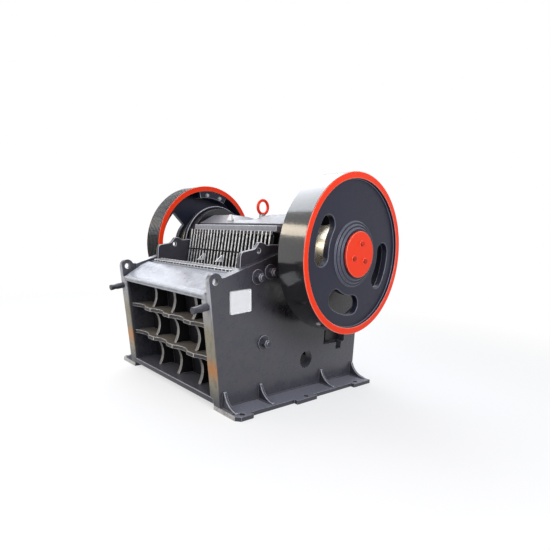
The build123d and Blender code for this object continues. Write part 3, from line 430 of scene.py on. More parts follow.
# Front faces of the upright ribs, painted lighter than their sides: painted light on what faces forward
RIB_FACE_LIGHT = Enamel("alkyd_enamel_rib_faces_painted_light", "#8b8884", "#2b2828", "#a5a19a", roughness=0.34,
                  wear_and_painted_light_share=1.0, patch_mm=60.0)
# Side plates: khaki and pale grey painted reflections and a patch of rust on their front edges, near black
# painted shade behind the wheels
PLATE_RUST_AND_PAINTED_LIGHT = RustAndPaintedLightEnamel("alkyd_enamel_rust_and_painted_light", PLATE_ENAMEL, "#8f8872", "#c07c33", "#b6b7bb",
                               "#111114")
# Feed lip: the enamel painted pale and bluish, with lighter patches: a painted reflection of the bright sky
# on the sloping plate
LIP_SHEEN_ENAMEL = Enamel("alkyd_enamel_lip_painted_sheen", "#888c95", "#bfc3ca", "#a4a7ae", roughness=0.3,
                    wear_and_painted_light_share=0.8, dust_and_top_light_share=0.2, patch_mm=320.0)
# Rounded edges of the feed lip, the cheek plates and the clamp bar, painted brighter: painted highlights
LIP_EDGE_HIGHLIGHT = Enamel("alkyd_enamel_lip_edge_highlights", "#b9bcc3", "#dcdee2", "#dfe1e5", roughness=0.26,
                  wear_and_painted_light_share=0.9, dust_and_top_light_share=0.2, patch_mm=60.0)
# Enamel over a sand casting: the sand's grain shows through as a coarse, shallow relief
CAST_ENAMEL = Enamel("alkyd_enamel_on_casting", "#32323a", "#444349", "#8d8e95", roughness=0.33,
                     dust_and_top_light_share=0.5, peel_mm=14.0, peel_depth_mm=0.7)
# Enamel over the cast bearing housings, painted dark and dull: painted shade of the wheels
HOUSING_SHADE_ENAMEL = Enamel("alkyd_enamel_housing_painted_shade", "#15161b", "#222327", "#4c4d52", roughness=0.4,
                        specular=0.15, peel_mm=14.0, peel_depth_mm=0.7)
# Enamel of the toggle gear deep in the frame, painted black: painted shade deep in the frame
TOGGLE_SHADE_ENAMEL = Enamel("alkyd_enamel_toggle_painted_shade", "#17171a", "#262320", "#33302c", roughness=0.4)
# Glossy black enamel on the wheels' rims: sharp reflections of what is pale around them
WHEEL_ENAMEL = Enamel("gloss_enamel_black", "#0e0e10", "#221e19", "#3a3a3b", roughness=0.15, specular=0.6,
                      coat=1.0, wear_and_painted_light_share=0.8, dust_and_top_light_share=0.1, patch_mm=90.0, peel_mm=22.0,
                      peel_depth_mm=1.5)
# Charcoal enamel on the wheels' webs and hubs and on the counterweights, semi-gloss
WEB_ENAMEL = Enamel("alkyd_enamel_charcoal", "#1e2030", "#282a38", "#5a5b62", roughness=0.36, specular=0.25,
                    wear_and_painted_light_share=0.5, patch_mm=220.0)
# Rounded edges of webs and hubs, a little lighter: a painted highlight
WEB_EDGE_HIGHLIGHT = Enamel("alkyd_enamel_charcoal_edge_highlights", "#565864", "#6c6e79", "#8c8e96", roughness=0.3)
# Signal red enamel on rim faces, hub caps and the lifting eye
RED_ENAMEL = Enamel("gloss_enamel_red", "#f83608", "#ee3e14", "#f25c3c", roughness=0.34, specular=0.25,
                    wear_and_painted_light_share=0.4, dust_and_top_light_share=0.15)
# The same red on the hub caps' bolt heads, with dark patches: painted shade on the heads
RED_BOLT_SHADE = Enamel("gloss_enamel_red_bolt_painted_shade", "#c72a0c", "#40140d", "#d2492c", roughness=0.4, specular=0.25,
                    wear_and_painted_light_share=1.0, dust_and_top_light_share=0.15, patch_mm=24.0)
# The thin, lighter line of red along rounded edges: a painted highlight
RED_EDGE_HIGHLIGHT = Enamel("gloss_enamel_red_edge_highlight", "#fa6a50", "#f6917d", "#f8a092", roughness=0.25, wear_and_painted_light_share=0.5)
# Cast manganese steel of the toothed plates, with painted shade in the grooves and painted highlights on the
# crests; its grain is drawn coarse, so that it shows
JAW_STEEL = JawSteel("manganese_steel_cast", "#040405", "#e9eaec")
# The same steel painted near white along the edges of the teeth: a painted highlight
JAW_EDGE_HIGHLIGHT = Enamel("manganese_steel_edge_highlight", "#dededf", "#bcbcc0", "#e6e6e9", roughness=0.3, metallic=0.2,
                  patch_mm=60.0)
# Machined steel of shaft, bearings, rods and springs: streaks of old oil over grey steel
MACHINED_STEEL = Enamel("machined_steel_oiled", "#b9b4aa", "#8d8473", "#bdb8ae", roughness=0.24,
                        metallic=0.85, wear_and_painted_light_share=0.8, patch_mm=70.0, peel_mm=4.0, peel_depth_mm=0.1)
# Turned steel of the bearing covers and of the wheels' hubs inward of the web: bright and clean
COVER_STEEL = Enamel("turned_steel_bright", "#ddd3bd", "#b9ad95", "#d9d2c2", roughness=0.26, metallic=0.8,
                     patch_mm=70.0, peel_mm=4.0, peel_depth_mm=0.1)
# Zinc-plated fasteners and the lifting eye's shoulder: pale grey, dull
ZINC_STEEL = Enamel("zinc_plated_steel", "#a4a6aa", "#7c7b79", "#b5b6b8", roughness=0.4, metallic=0.6,
                    wear_and_painted_light_share=0.7, patch_mm=30.0, peel_mm=3.0, peel_depth_mm=0.1)
# White lacquer on the blank aluminium plate, slightly soiled
PLATE_LACQUER = Enamel("lacquered_aluminium_white", "#f2f2f0", "#d5d3cc", "#dcdad4", roughness=0.3,
                       wear_and_painted_light_share=0.4, patch_mm=50.0, peel_mm=5.0, peel_depth_mm=0.05)


def material_of(finish: Finish) -> Material:
    """Return a finish's material, made on first use."""
    return bpy.data.materials.get(finish.name) or finish.build()


def clear_selection() -> None:
    """Deselect every object."""
    bpy.ops.object.select_all(action="DESELECT")


def activate(piece: Object) -> None:
    """Make a piece the only selected and active object.

    Args:
        piece: The piece.
    """
    clear_selection()
    piece.select_set(True)
    bpy.context.view_layer.objects.active = piece


def newest(name: str) -> Object:
    """Name the object that an operator has just made.

    Args:
        name: Name for the object and its data.

    Returns:
        The object.
    """
    piece = bpy.context.view_layer.objects.active
    piece.name = name
    piece.data.name = name
    return piece


def edit_all(piece: Object) -> None:
    """Enter edit mode on a piece with all of it selected.

    Args:
        piece: The piece.
    """
    activate(piece)
    bpy.ops.object.mode_set(mode="EDIT")
    bpy.ops.mesh.select_all(action="SELECT")


def select_faces(piece: Object, wanted: Callable[[Vector, Vector], bool]) -> None:
    """Enter edit mode on a piece with some of its faces selected.

    Args:
        piece: The piece.
        wanted: Tells from a face's centre and normal whether it is selected.
    """
    activate(piece)
    for polygon in piece.data.polygons:
        polygon.select = wanted(polygon.center, polygon.normal)
    for edge in piece.data.edges:
        edge.select = False
    for vertex in piece.data.vertices:
        vertex.select = False
    bpy.ops.object.mode_set(mode="EDIT")
    bpy.ops.mesh.select_mode(type="FACE")


def looks_up(centre: Vector, normal: Vector) -> bool:
    """Tell whether a face looks up."""
    return normal.z > 0.9


def leave_edit() -> None:
    """Go back to object mode."""
    bpy.ops.object.mode_set(mode="OBJECT")


def sink(border: float, step: float, depth: float) -> None:
    """Sink the selected faces inside a raised border, all in metres."""
    bpy.ops.mesh.inset(thickness=border, depth=0.0)
    bpy.ops.mesh.inset(thickness=step, depth=-depth)


def apply_modifier(piece: Object, kind: str, **settings: object) -> None:
    """Add a modifier and apply it.

    Args:
        piece: The piece.
        kind: The modifier's type.
        **settings: Its settings by name.
    """
    activate(piece)
    modifier = piece.modifiers.new(kind.lower(), kind)
    for name, value in settings.items():
        setattr(modifier, name, value)
    bpy.ops.object.modifier_apply(modifier=modifier.name)


def round_edges(piece: Object, width_mm: float, segments: int = 2, material: int = -1) -> None:
    """Round the edges of a piece; the rounding may take another of its materials."""
    apply_modifier(piece, "BEVEL", width=width_mm * MM, segments=segments, limit_method="ANGLE",
                   angle_limit=SHARP, use_clamp_overlap=True, material=material)


def smooth(piece: Object, angle: float) -> None:
    """Shade a piece smooth where its faces meet under an angle, and report it.

    Args:
        piece: The piece.
        angle: The angle in degrees.
    """
    activate(piece)
    bpy.ops.object.shade_smooth_by_angle(angle=math.radians(angle))
    LOG.info("%s: %d faces", piece.name, len(piece.data.polygons))


def shade(piece: Object, angle: float = 35.0) -> None:
    """Shade a piece smooth under an angle, with its large faces kept flat."""
    smooth(piece, angle)
    apply_modifier(piece, "WEIGHTED_NORMAL", keep_sharp=True)


def add_finishes(piece: Object, *finishes: Finish) -> None:
    """Add finishes to a piece's materials."""
    for finish in finishes:
        piece.data.materials.append(material_of(finish))


def dress(piece: Object, body: Body, slot: Slot, *finishes: Finish) -> None:
    """Give a piece its materials and body.

    Args:
        piece: The piece.
        body: Body that it rides on.
        slot: The record's slot of its finish; not used.
        *finishes: Its materials in order.
    """
    piece.data.materials.clear()
    add_finishes(piece, *finishes)
    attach(piece, body.value)


def recolour(piece: Object, choose: Chooser) -> None:
    """Choose each face's material number from the face and its corners."""
    for face in piece.data.polygons:
        face.material_index = choose(face, [piece.data.vertices[i].co for i in face.vertices])


def settle(piece: Object) -> Object:
    """Put a piece's place into its mesh, with its normals outward.

    Args:
        piece: The piece.

    Returns:
        The same piece.
    """
    activate(piece)
    bpy.ops.object.transform_apply(location=True, rotation=True, scale=True)
    edit_all(piece)
    bpy.ops.mesh.normals_make_consistent(inside=False)
    leave_edit()
    return piece


def join(pieces: Iterable[Object], name: str) -> Object:
    """Join pieces into one.

    Args:
        pieces: The pieces.
        name: Name of the joined piece.

    Returns:
        The joined piece.
    """
    pieces = list(pieces)
    activate(pieces[0])
    for piece in pieces[1:]:
        piece.select_set(True)
    bpy.ops.object.join()
    return newest(name)


def copies(model: Object, places: Iterable[Matrix], name: str) -> Object:
    """Copy a model to each place, each copy with its own mesh, and join them.

    Args:
        model: The piece that repeats, modelled about the origin.
        places: Where the copies go.
        name: Name of the joined piece.

    Returns:
        The joined piece; the model is removed.
    """
    group = []
    for place in places:
        activate(model)
        bpy.ops.object.duplicate()
        copy = bpy.context.view_layer.objects.active
        copy.matrix_world = place
        group.append(settle(copy))
    bpy.data.objects.remove(model)
    return join(group, name)


def cylinder(name: str, radius: float, length: float, foot: float = 0.0, sides: int = 36,
             **settings: object) -> Object:
    """Add a cylinder that stands up along the Z axis, all in metres.

    Args:
        name: Name of the cylinder.
        radius: Its radius over the corners.
        length: Its length.
        foot: Height of its lower end.
        sides: Number of its sides.
        **settings: The operator's other settings.

    Returns:
        The cylinder, its place not yet in its mesh.
    """
    clear_selection()
    bpy.ops.mesh.primitive_cylinder_add(vertices=sides, radius=radius, depth=length,
                                        location=(0, 0, foot + length / 2), **settings)
    return newest(name)


@dataclass(frozen=True)
class RingedTube:
    """Closed tube of equal rings up the Z axis, as a thread or a weld bead has them; in metres."""

    name: str
    radius: float
    pitch: float
    count: int
    sides: int
    crest_at: float
    crest_share: float
    foot: float = 0.0
    merge: float = 0.1 * MM

    def build(self) -> Object:
        """Model one ring, its radius changed at a share of its height, and repeat it.

        Returns:
            The tube, its place not yet in its mesh.
        """
        tube = cylinder(self.name, self.radius, self.pitch, self.foot, self.sides, end_fill_type="NOTHING")
        edit_all(tube)
        bpy.ops.mesh.bisect(plane_co=(0, 0, self.foot + self.pitch * self.crest_at), plane_no=(0, 0, 1))
        bpy.ops.transform.resize(value=(self.crest_share, self.crest_share, 1.0), center_override=(0, 0, 0))
        leave_edit()
        apply_modifier(tube, "ARRAY", count=self.count, use_relative_offset=False, use_constant_offset=True,
                       constant_offset_displace=(0, 0, self.pitch), use_merge_vertices=True,
                       merge_threshold=self.merge)
        edit_all(tube)
        bpy.ops.mesh.fill_holes(sides=0)
        leave_edit()
        return tube


def finish_node(node: str, finish: Finish, edge: Finish, width_mm: float = 5.0, segments: int = 2,
                body: Body = Body.FRAME, slot: Slot = Slot.BODY) -> Object:
    """Copy a node's form, merge its faces, round its edges and dress it in its place.

    Args:
        node: The node's name.
        finish: Material of the faces.
        edge: Material of the rounded edges.
        width_mm: Width of the rounding; none at zero.
        segments: Steps across the rounding.
        body: Body that the piece rides on.
        slot: The record's slot of the finish.

    Returns:
        The new piece, which stands for the node.
    """
    activate(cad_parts[node])
    bpy.ops.object.duplicate()
    piece = newest(f"{node}_finished")
    for key in list(piece.keys()):
        del piece[key]
    dress(piece, body, slot, finish, edge)
    edit_all(piece)
    bpy.ops.mesh.remove_doubles(threshold=MERGE)
    bpy.ops.mesh.dissolve_limited(angle_limit=FLAT)
    bpy.ops.mesh.normals_make_consistent(inside=False)
    leave_edit()
    if width_mm:
        round_edges(piece, width_mm, segments, EDGES)
    shade(piece)
    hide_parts(node)
    return piece


def facing_x(side: Side, x: float, y: float, z: float) -> Matrix:
    """Return the place of a fastener whose axis points outward from a side.

    Args:
        side: The machine's side, which gives the sign of X.
        x: Distance of its seat from the middle plane.
        y: Y of its axis.
        z: Z of its axis.

    Returns:
        A matrix that takes +Z to the side's outward direction.
    """
    turn = Matrix.Rotation(math.radians(90) * side.value, 4, "Y")
    return Matrix.Translation((side.value * x, y, z)) @ turn


def pointing(place: Vector, way: Vector) -> Matrix:
    """Return the place of a piece whose +Z axis points a way."""
    return Matrix.Translation(place) @ way.to_track_quat("Z", "Y").to_matrix().to_4x4()


def highlighted_edge(face: MeshPolygon, corners: list[Vector]) -> int:
    """Choose the second material, a painted highlight, on the rounded edges of fasteners that stand along X.
    """
    flat, end = 0.12, 0.98
    return EDGES if flat < abs(face.normal.x) < end else FACES


def fasten(model: Object, places: Iterable[Matrix], name: str, body: Body, slot: Slot,
           *finishes: Finish) -> Object:
    """Copy a fastener to its places and dress the group.

    Args:
        model: The fastener, modelled about the origin.
        places: Where the copies go.
        name: Name of the group.
        body: Body that it rides on.
        slot: The record's slot of its finish.
        *finishes: Its material, and where there are two, that of its rounded edges.

    Returns:
        The group as one piece.
    """
    group = copies(model, places, name)
    dress(group, body, slot, *finishes)
    if len(finishes) > 1:
        recolour(group, highlighted_edge)
    shade(group, 40)
    return group


@dataclass
class HexBolt:
    """A hexagon head or nut on a washer, with an optional stud end; sizes in millimetres."""

    head_r: float
    head_h: float
    washer_r: float
    washer_h: float
    stud_r: float = 0.0
    stud_h: float = 0.0
    thread_mm: float = 4.0
    thread_share: float = 0.9
    chamfer_share: float = 0.12
    crown_share: float = 0.06
    land_share: float = 0.85
    edge_share: float = 0.05
    washer_edge_share: float = 0.3
    washer_edge_most: float = 2.0

    def build(self, name: str) -> Object:
        """Model the fastener about the origin, standing on z = 0.

        Args:
            name: Name of the model.

        Returns:
            The fastener as one piece.
        """
        seat, top = self.washer_h * MM, (self.washer_h + self.head_h) * MM
        washer = settle(cylinder(f"{name}_washer", self.washer_r * MM, seat))
        round_edges(washer, min(self.washer_h * self.washer_edge_share, self.washer_edge_most))
        head = settle(cylinder(f"{name}_head", self.head_r * MM, self.head_h * MM, seat, 6))
        select_faces(head, looks_up)
        bpy.ops.mesh.inset(thickness=self.head_r * self.chamfer_share * MM,
                           depth=self.head_h * self.crown_share * MM)
        if self.stud_r:
            flat_r = self.head_r * self.land_share * math.cos(math.radians(30))
            bpy.ops.mesh.inset(thickness=(flat_r - self.stud_r) * MM, depth=0.0)
        leave_edit()
        round_edges(head, self.head_r * self.edge_share)
        parts = [washer, head]
        if self.stud_r:
            parts.append(self.stud(name, top))
        return join(parts, name)

    def stud(self, name: str, top: float) -> Object:
        """Model the threaded end over the nut.

        Args:
            name: Name of the model that it belongs to.
            top: Height of the nut's top in metres.

        Returns:
            The stud's end.
        """
        count = max(2, round(self.stud_h / self.thread_mm))
        tube = RingedTube(f"{name}_stud", self.stud_r * MM, self.stud_h * MM / count, count, sides=20,
                          crest_at=0.5, crest_share=self.thread_share, foot=top)
        return settle(tube.build())


@dataclass
class WeldSeam:
    """Rippled fillet weld along straight joints; sizes in millimetres."""

    bead_r: float = 7.0
    ripple: float = 11.0
    crest_at: float = 0.65
    crest_share: float = 1.22
    sides: int = 10

    def run(self, start: Point, end: Point) -> Object:
        """Model one bead.

        Args:
            start: Where it starts, in metres.
            end: Where it ends, in metres.

        Returns:
            The bead.
        """
        line = Vector(end) - Vector(start)
        count = max(3, round(line.length / (self.ripple * MM)))
        bead = RingedTube("bead", self.bead_r * MM, line.length / count, count, self.sides, self.crest_at,
                          self.crest_share, merge=0.2 * MM).build()
        bead.matrix_world = pointing(Vector(start), line)
        return settle(bead)

    def build(self, name: str, body: Body, runs: Iterable[tuple[Point, Point]], finish: Finish) -> None:
        """Model all the runs as one dressed piece, shaded smooth so that its ripples flow together.

        Args:
            name: Name of the piece.
            body: Body that it rides on.
            runs: Where each run starts and ends.
            finish: Its material.
        """
        seam = join([self.run(start, end) for start, end in runs], name)
        dress(seam, body, Slot.BODY, finish)
        smooth(seam, 50)


@dataclass
class MainFrame:
    """Side plates, feet, gussets, walls and beams of the welded frame."""

    plate_round_mm: float = 6.0
    beam_round_mm: float = 4.0
    flange_w: float = 0.145
    gusset_ys: tuple[float, ...] = (-0.639, -0.330, 0.308, 0.707)
    gusset_t: float = 0.022
    gusset_h: float = 0.104
    front_end: float = 0.006
    weld_end: float = 0.004
    weld_min: float = 0.03
    weld_below: float = 0.006
    weld_short: float = 0.02

    def build(self) -> None:
        """Finish the frame's plates and add its weld seams."""
        for side in Side:
            # Side plates: painted reflections and rust on the front edges, painted shade behind the wheels
            finish_node(f"side_plate_{side.tag}", PLATE_RUST_AND_PAINTED_LIGHT, EDGE_HIGHLIGHT_ENAMEL, self.plate_round_mm)
            foot = finish_node(f"foot_{side.tag}", FOOT_ENAMEL, EDGE_HIGHLIGHT_ENAMEL, self.beam_round_mm)
            add_finishes(foot, RIB_EDGE_HIGHLIGHT)
            # The foot's front end is painted near white: a painted highlight
            recolour(foot, self.lit_front_end)
            finish_node(f"gussets_{side.tag}", FRAME_ENAMEL, EDGE_HIGHLIGHT_ENAMEL)
        for node in ("rear_wall", "rear_beam"):
            finish_node(node, FRAME_ENAMEL, EDGE_HIGHLIGHT_ENAMEL, self.beam_round_mm)
        # Painted black: painted shade deep in the frame
        finish_node("toggle_beam", TOGGLE_SHADE_ENAMEL, TOGGLE_SHADE_ENAMEL, self.beam_round_mm)
        for side in Side:
            WeldSeam().build(f"foot_welds_{side.tag}", Body.FRAME, self.seams(side), FRAME_ENAMEL)

    def lit_front_end(self, face: MeshPolygon, corners: list[Vector]) -> int:
        """Choose a foot face's paint: the third, near white as a painted highlight, on the front end."""
        at_front = max(corner.y for corner in corners) < FRONT_Y + self.front_end
        return THIRD if at_front else face.material_index

    def seams(self, side: Side) -> list[tuple[Point, Point]]:
        """Return the weld runs along a foot and round its gussets.

        Args:
            side: The machine's side.

        Returns:
            Start and end of each run in metres.
        """
        x = SIDE_OUT * side.value
        out = x + side.value * (self.flange_w - self.weld_short)
        runs = []
        stops = [FRONT_Y + self.weld_end]
        for y in self.gusset_ys:
            stops += [y, y + self.gusset_t]
        stops.append(REAR_Y - self.weld_end)
        for start, end in zip(stops[::2], stops[1::2]):
            if end - start > self.weld_min:
                runs.append(((x, start, FOOT_T), (x, end, FOOT_T)))
        for y in self.gusset_ys:
            for edge in (y, y + self.gusset_t):
                runs.append(((x, edge, FOOT_T), (x, edge, FOOT_T + self.gusset_h - self.weld_below)))
                runs.append(((x, edge, FOOT_T), (out, edge, FOOT_T)))
        return runs


@dataclass
class FrontFrame:
    """Leaning front: wall, shelf, scalloped ribs, lip plate and pegs."""

    rib_round_mm: float = 4.0
    wall_round_mm: float = 3.0
    lip_round_mm: float = 12.0
    peg_x: float = 0.560
    peg_z: float = 0.667
    peg_r: float = 0.0230
    peg_l: float = 0.1112
    peg_round_mm: float = 5.0
    peg_rim_share: float = 0.35
    peg_crown_share: float = 0.02
    waist_z: float = 0.068
    waist_half: float = 0.010
    waist_share: float = 0.84
    lip_border: float = 0.022
    lip_step: float = 0.004
    lip_depth: float = 0.003
    lip_slopes: tuple[float, ...] = (0.825, 0.916, 1.0)
    slope_near: float = 0.008
    level_near: float = 0.01
    forward: float = 0.2

    def build(self) -> None:
        """Finish the front's plates and ribs."""
        finish_node("front_ribs_horizontal", RIB_ENAMEL, RIB_EDGE_HIGHLIGHT, self.rib_round_mm)
        # The upright ribs' sides and the front wall are painted near black: painted shade in the cells
        upright = finish_node("front_ribs_vertical", CELL_SHADE_ENAMEL, RIB_EDGE_HIGHLIGHT, self.rib_round_mm)
        add_finishes(upright, RIB_FACE_LIGHT)
        # The ribs' front faces are painted lighter: painted light on what faces forward
        recolour(upright, self.lit_front_faces)
        finish_node("front_wall", CELL_SHADE_ENAMEL, EDGE_HIGHLIGHT_ENAMEL, self.wall_round_mm)
        finish_node("front_shelf", FRAME_ENAMEL, EDGE_HIGHLIGHT_ENAMEL)
        # The lip plate is painted pale: a painted reflection of the sky; its rounded edges are painted
        # highlights
        lip = finish_node("feed_lip_plate", LIP_SHEEN_ENAMEL, LIP_EDGE_HIGHLIGHT, self.lip_round_mm, 4)
        select_faces(lip, self.on_lip)
        sink(self.lip_border, self.lip_step, self.lip_depth)
        leave_edit()
        for side in Side:
            self.peg(side)

    def lit_front_faces(self, face: MeshPolygon, corners: list[Vector]) -> int:
        """Choose an upright rib's paint: the third, lighter as painted light, on what faces forward."""
        in_front = face.normal.y < -self.forward and abs(face.normal.x) < self.forward
        return THIRD if in_front else face.material_index

    def on_lip(self, centre: Vector, normal: Vector) -> bool:
        """Tell whether a face is one of the lip plate's three upper faces."""
        sloped = any(abs(normal.z - slope) < self.slope_near for slope in self.lip_slopes)
        return sloped and abs(normal.x) < self.level_near

    def peg(self, side: Side) -> None:
        """Turn a peg with its waist and rounded head in place of the plain rod.

        Args:
            side: The machine's side.
        """
        peg = settle(cylinder(f"front_peg_{side.tag}_finished", self.peg_r, self.peg_l, sides=40))
        for height in (self.waist_z - self.waist_half, self.waist_z, self.waist_z + self.waist_half):
            select_faces(peg, lambda centre, normal: True)
            bpy.ops.mesh.bisect(plane_co=(0, 0, height), plane_no=(0, 0, 1))
            if height == self.waist_z:
                bpy.ops.transform.resize(value=(self.waist_share, self.waist_share, 1.0),
                                         center_override=(0, 0, height))
            leave_edit()
        select_faces(peg, looks_up)
        bpy.ops.mesh.inset(thickness=self.peg_r * self.peg_rim_share, depth=self.peg_r * self.peg_crown_share)
        leave_edit()
        round_edges(peg, self.peg_round_mm, 4)
        root = Vector((self.peg_x * side.value, front_edge(self.peg_z), self.peg_z))
        peg.matrix_world = pointing(root, Vector((0.0, -1.0, -LEAN)))
        settle(peg)
        dress(peg, Body.FRAME, Slot.BODY, CAST_ENAMEL)
        shade(peg, 40)
        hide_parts(f"front_peg_{side.tag}")


@dataclass
class CheekPlates:
    """Wear plates beside the chamber, with their bolts outside the side plates."""

    side: Side
    nut: HexBolt
    round_mm: float = 6.0
    bolts: tuple[tuple[float, float], ...] = ((-0.4096, 0.8470), (-0.3000, 0.8810), (-0.3160, 0.4080))

    def build(self) -> None:
        """Finish the plate and model its bolts in place of their plain forms."""
        tag = self.side.tag
        finish_node(f"cheek_plate_{tag}", FRAME_ENAMEL, LIP_EDGE_HIGHLIGHT, self.round_mm)
        places = [facing_x(self.side, SIDE_OUT, y, z) for y, z in self.bolts]
        group = fasten(self.nut.build("cheek_bolt"), places, f"cheek_bolts_{tag}_finished", Body.FRAME,
                       Slot.BODY, FRAME_ENAMEL, EDGE_HIGHLIGHT_ENAMEL)
        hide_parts(f"cheek_bolts_{tag}")


@dataclass
class BearingStation:
    """Bearing housing of a side plate with its cover, ring and bolts."""

    side: Side
    bolt: HexBolt
    housing_round_mm: float = 6.0
    ring_round_mm: float = 2.0
    cover_round_mm: float = 5.0
    bolt_count: int = 12
    bolt_ring_r: float = 0.300

    def build(self) -> None:
        """Finish the housing's parts and add its ring of bolts."""
        tag = self.side.tag
        # The housing and its bolts are painted dark: painted shade of the wheel
        finish_node(f"bearing_housing_{tag}", HOUSING_SHADE_ENAMEL, EDGE_HIGHLIGHT_ENAMEL, self.housing_round_mm, 3)
        finish_node(f"main_bearing_{tag}", MACHINED_STEEL, MACHINED_STEEL, self.ring_round_mm,
                    slot=Slot.BRIGHT)
        finish_node(f"bearing_cover_{tag}", COVER_STEEL, COVER_STEEL, self.cover_round_mm, 3,
                    slot=Slot.BRIGHT)
        angles = [360 / self.bolt_count * (i + 0.5) for i in range(self.bolt_count)]
        places = [facing_x(self.side, HOUSING_OUT, *around_shaft(self.bolt_ring_r, angle))
                  for angle in angles]
        fasten(self.bolt.build("housing_bolt"), places, f"housing_bolts_{tag}", Body.FRAME, Slot.BODY,
               HOUSING_SHADE_ENAMEL, EDGE_HIGHLIGHT_ENAMEL)


@dataclass
class Flywheel:
    """Flywheel with its counterweight and hub cap."""

    side: Side
    weight_bolt: HexBolt
    wheel_round_mm: float = 6.0
    round_reach: float = 0.6
    part_round_mm: float = 4.0
    weight_face: float = 0.745
    weight_bolt_r: float = 0.455
    weight_bolt_angles: tuple[float, ...] = (94.0, 75.0)

    def build(self) -> None:
        """Finish the wheel's parts and bolt its counterweight on from the inward side."""
        tag = self.side.tag
        wheel = finish_node(f"flywheel_{tag}", WHEEL_ENAMEL, EDGE_HIGHLIGHT_ENAMEL, self.wheel_round_mm, 3,
                            Body.SHAFT, Slot.WHEEL)
        # The red and charcoal edge paints are painted highlights
        add_finishes(wheel, WEB_ENAMEL, RED_ENAMEL, RED_EDGE_HIGHLIGHT, WEB_EDGE_HIGHLIGHT, COVER_STEEL)
        recolour(wheel, self.paint)
        finish_node(f"counterweight_{tag}", WEB_ENAMEL, EDGE_HIGHLIGHT_ENAMEL, self.part_round_mm, 2,
                    Body.SHAFT, Slot.WHEEL)
        cap = finish_node(f"hub_cap_{tag}", RED_ENAMEL, RED_EDGE_HIGHLIGHT, self.part_round_mm, 3,
                          Body.SHAFT, Slot.RED)
        # The cap's bolt heads get dark patches: painted shade
        add_finishes(cap, RED_BOLT_SHADE)
        recolour(cap, self.shaded_bolt_heads)
        inward = Side(-self.side.value)
        places = [facing_x(inward, -self.weight_face, *around_shaft(self.weight_bolt_r, angle))
                  for angle in self.weight_bolt_angles]
        fasten(self.weight_bolt.build("weight_bolt"), places, f"counterweight_bolts_{tag}", Body.SHAFT,
               Slot.WHEEL, ZINC_STEEL)

    def shaded_bolt_heads(self, face: MeshPolygon, corners: list[Vector]) -> int:
        """Choose a hub cap's paint: the third, with painted shade, on the bolt heads outward of its face."""
        on_head = min(abs(corner.x) for corner in corners) > CAP_FACE + NEAR
        return THIRD if on_head else face.material_index

    def paint(self, face: MeshPolygon, corners: list[Vector]) -> int:
        """Choose the paint of a wheel's face by its place.

        Args:
            face: The face.
            corners: Its corners.

        Returns:
            One of WheelPaint.
        """
        rounded = face.material_index == WheelPaint.ROUNDED
        radii = [radius_of(corner) for corner in corners]
        outward = [abs(corner.x) for corner in corners]
        reach = self.wheel_round_mm * self.round_reach * MM
        at_face = any(all(abs(x - plane) < reach for x in outward) for plane in (WHEEL_IN, WHEEL_OUT))
        if at_face and min(radii) > RIM_IN_R - NEAR:
            return WheelPaint.RED_EDGE_HIGHLIGHT if rounded else WheelPaint.RED
        if max(radii) < HUB_R + NEAR and max(outward) < WEB_IN + NEAR:
            return WheelPaint.TURNED
        if max(radii) < RIM_IN_R + NEAR:
            return WheelPaint.CHARCOAL_EDGE_HIGHLIGHT if rounded else WheelPaint.CHARCOAL
        return WheelPaint.BLACK


@dataclass
class Jaws:
    """Toothed plates of the fixed and the swing jaw."""

    tooth_round_mm: float = 3.5
    groove_share: float = 0.2
    lug_out: float = 0.008

    def build(self) -> None:
        """Finish the toothed plates."""
        self.plate("fixed_jaw_plate", Body.FRAME)
        self.plate("jaw_plate_upper", Body.SWING_JAW)
        recolour(self.plate("jaw_plate_lower", Body.SWING_JAW), self.highlighted_lugs)

    def plate(self, node: str, body: Body) -> Object:
        """Finish one toothed plate.

        Args:
            node: The node's name.
            body: Body that it rides on.

        Returns:
            The plate.
        """
        plate = finish_node(node, JAW_STEEL, JAW_EDGE_HIGHLIGHT, self.tooth_round_mm, body=body, slot=Slot.WEAR)
        recolour(plate, self.shaded_grooves)
        return plate

    def shaded_grooves(self, face: MeshPolygon, corners: list[Vector]) -> int:
        """Choose a face's steel: its near black, painted shade, on the long rounded edges down in the
        grooves.

        Args:
            face: The face.
            corners: Its corners.

        Returns:
            The material's number.
        """
        middle = sum(corners, Vector()) / len(corners)
        share = (middle.x + JAW_HALF) / TOOTH_PITCH % 1
        heights = [corner.z for corner in corners]
        in_groove = not self.groove_share < share < 1 - self.groove_share
        return FACES if in_groove and max(heights) - min(heights) > TOOTH_PITCH else face.material_index

    def highlighted_lugs(self, face: MeshPolygon, corners: list[Vector]) -> int:
        """Choose a face's steel: the pale edge steel, a painted highlight, on the lifting lugs in front of
        the teeth.
        """
        middle = sum(corners, Vector()) / len(corners)
        return EDGES if middle.y < swing_tip(middle.z) - self.lug_out else face.material_index


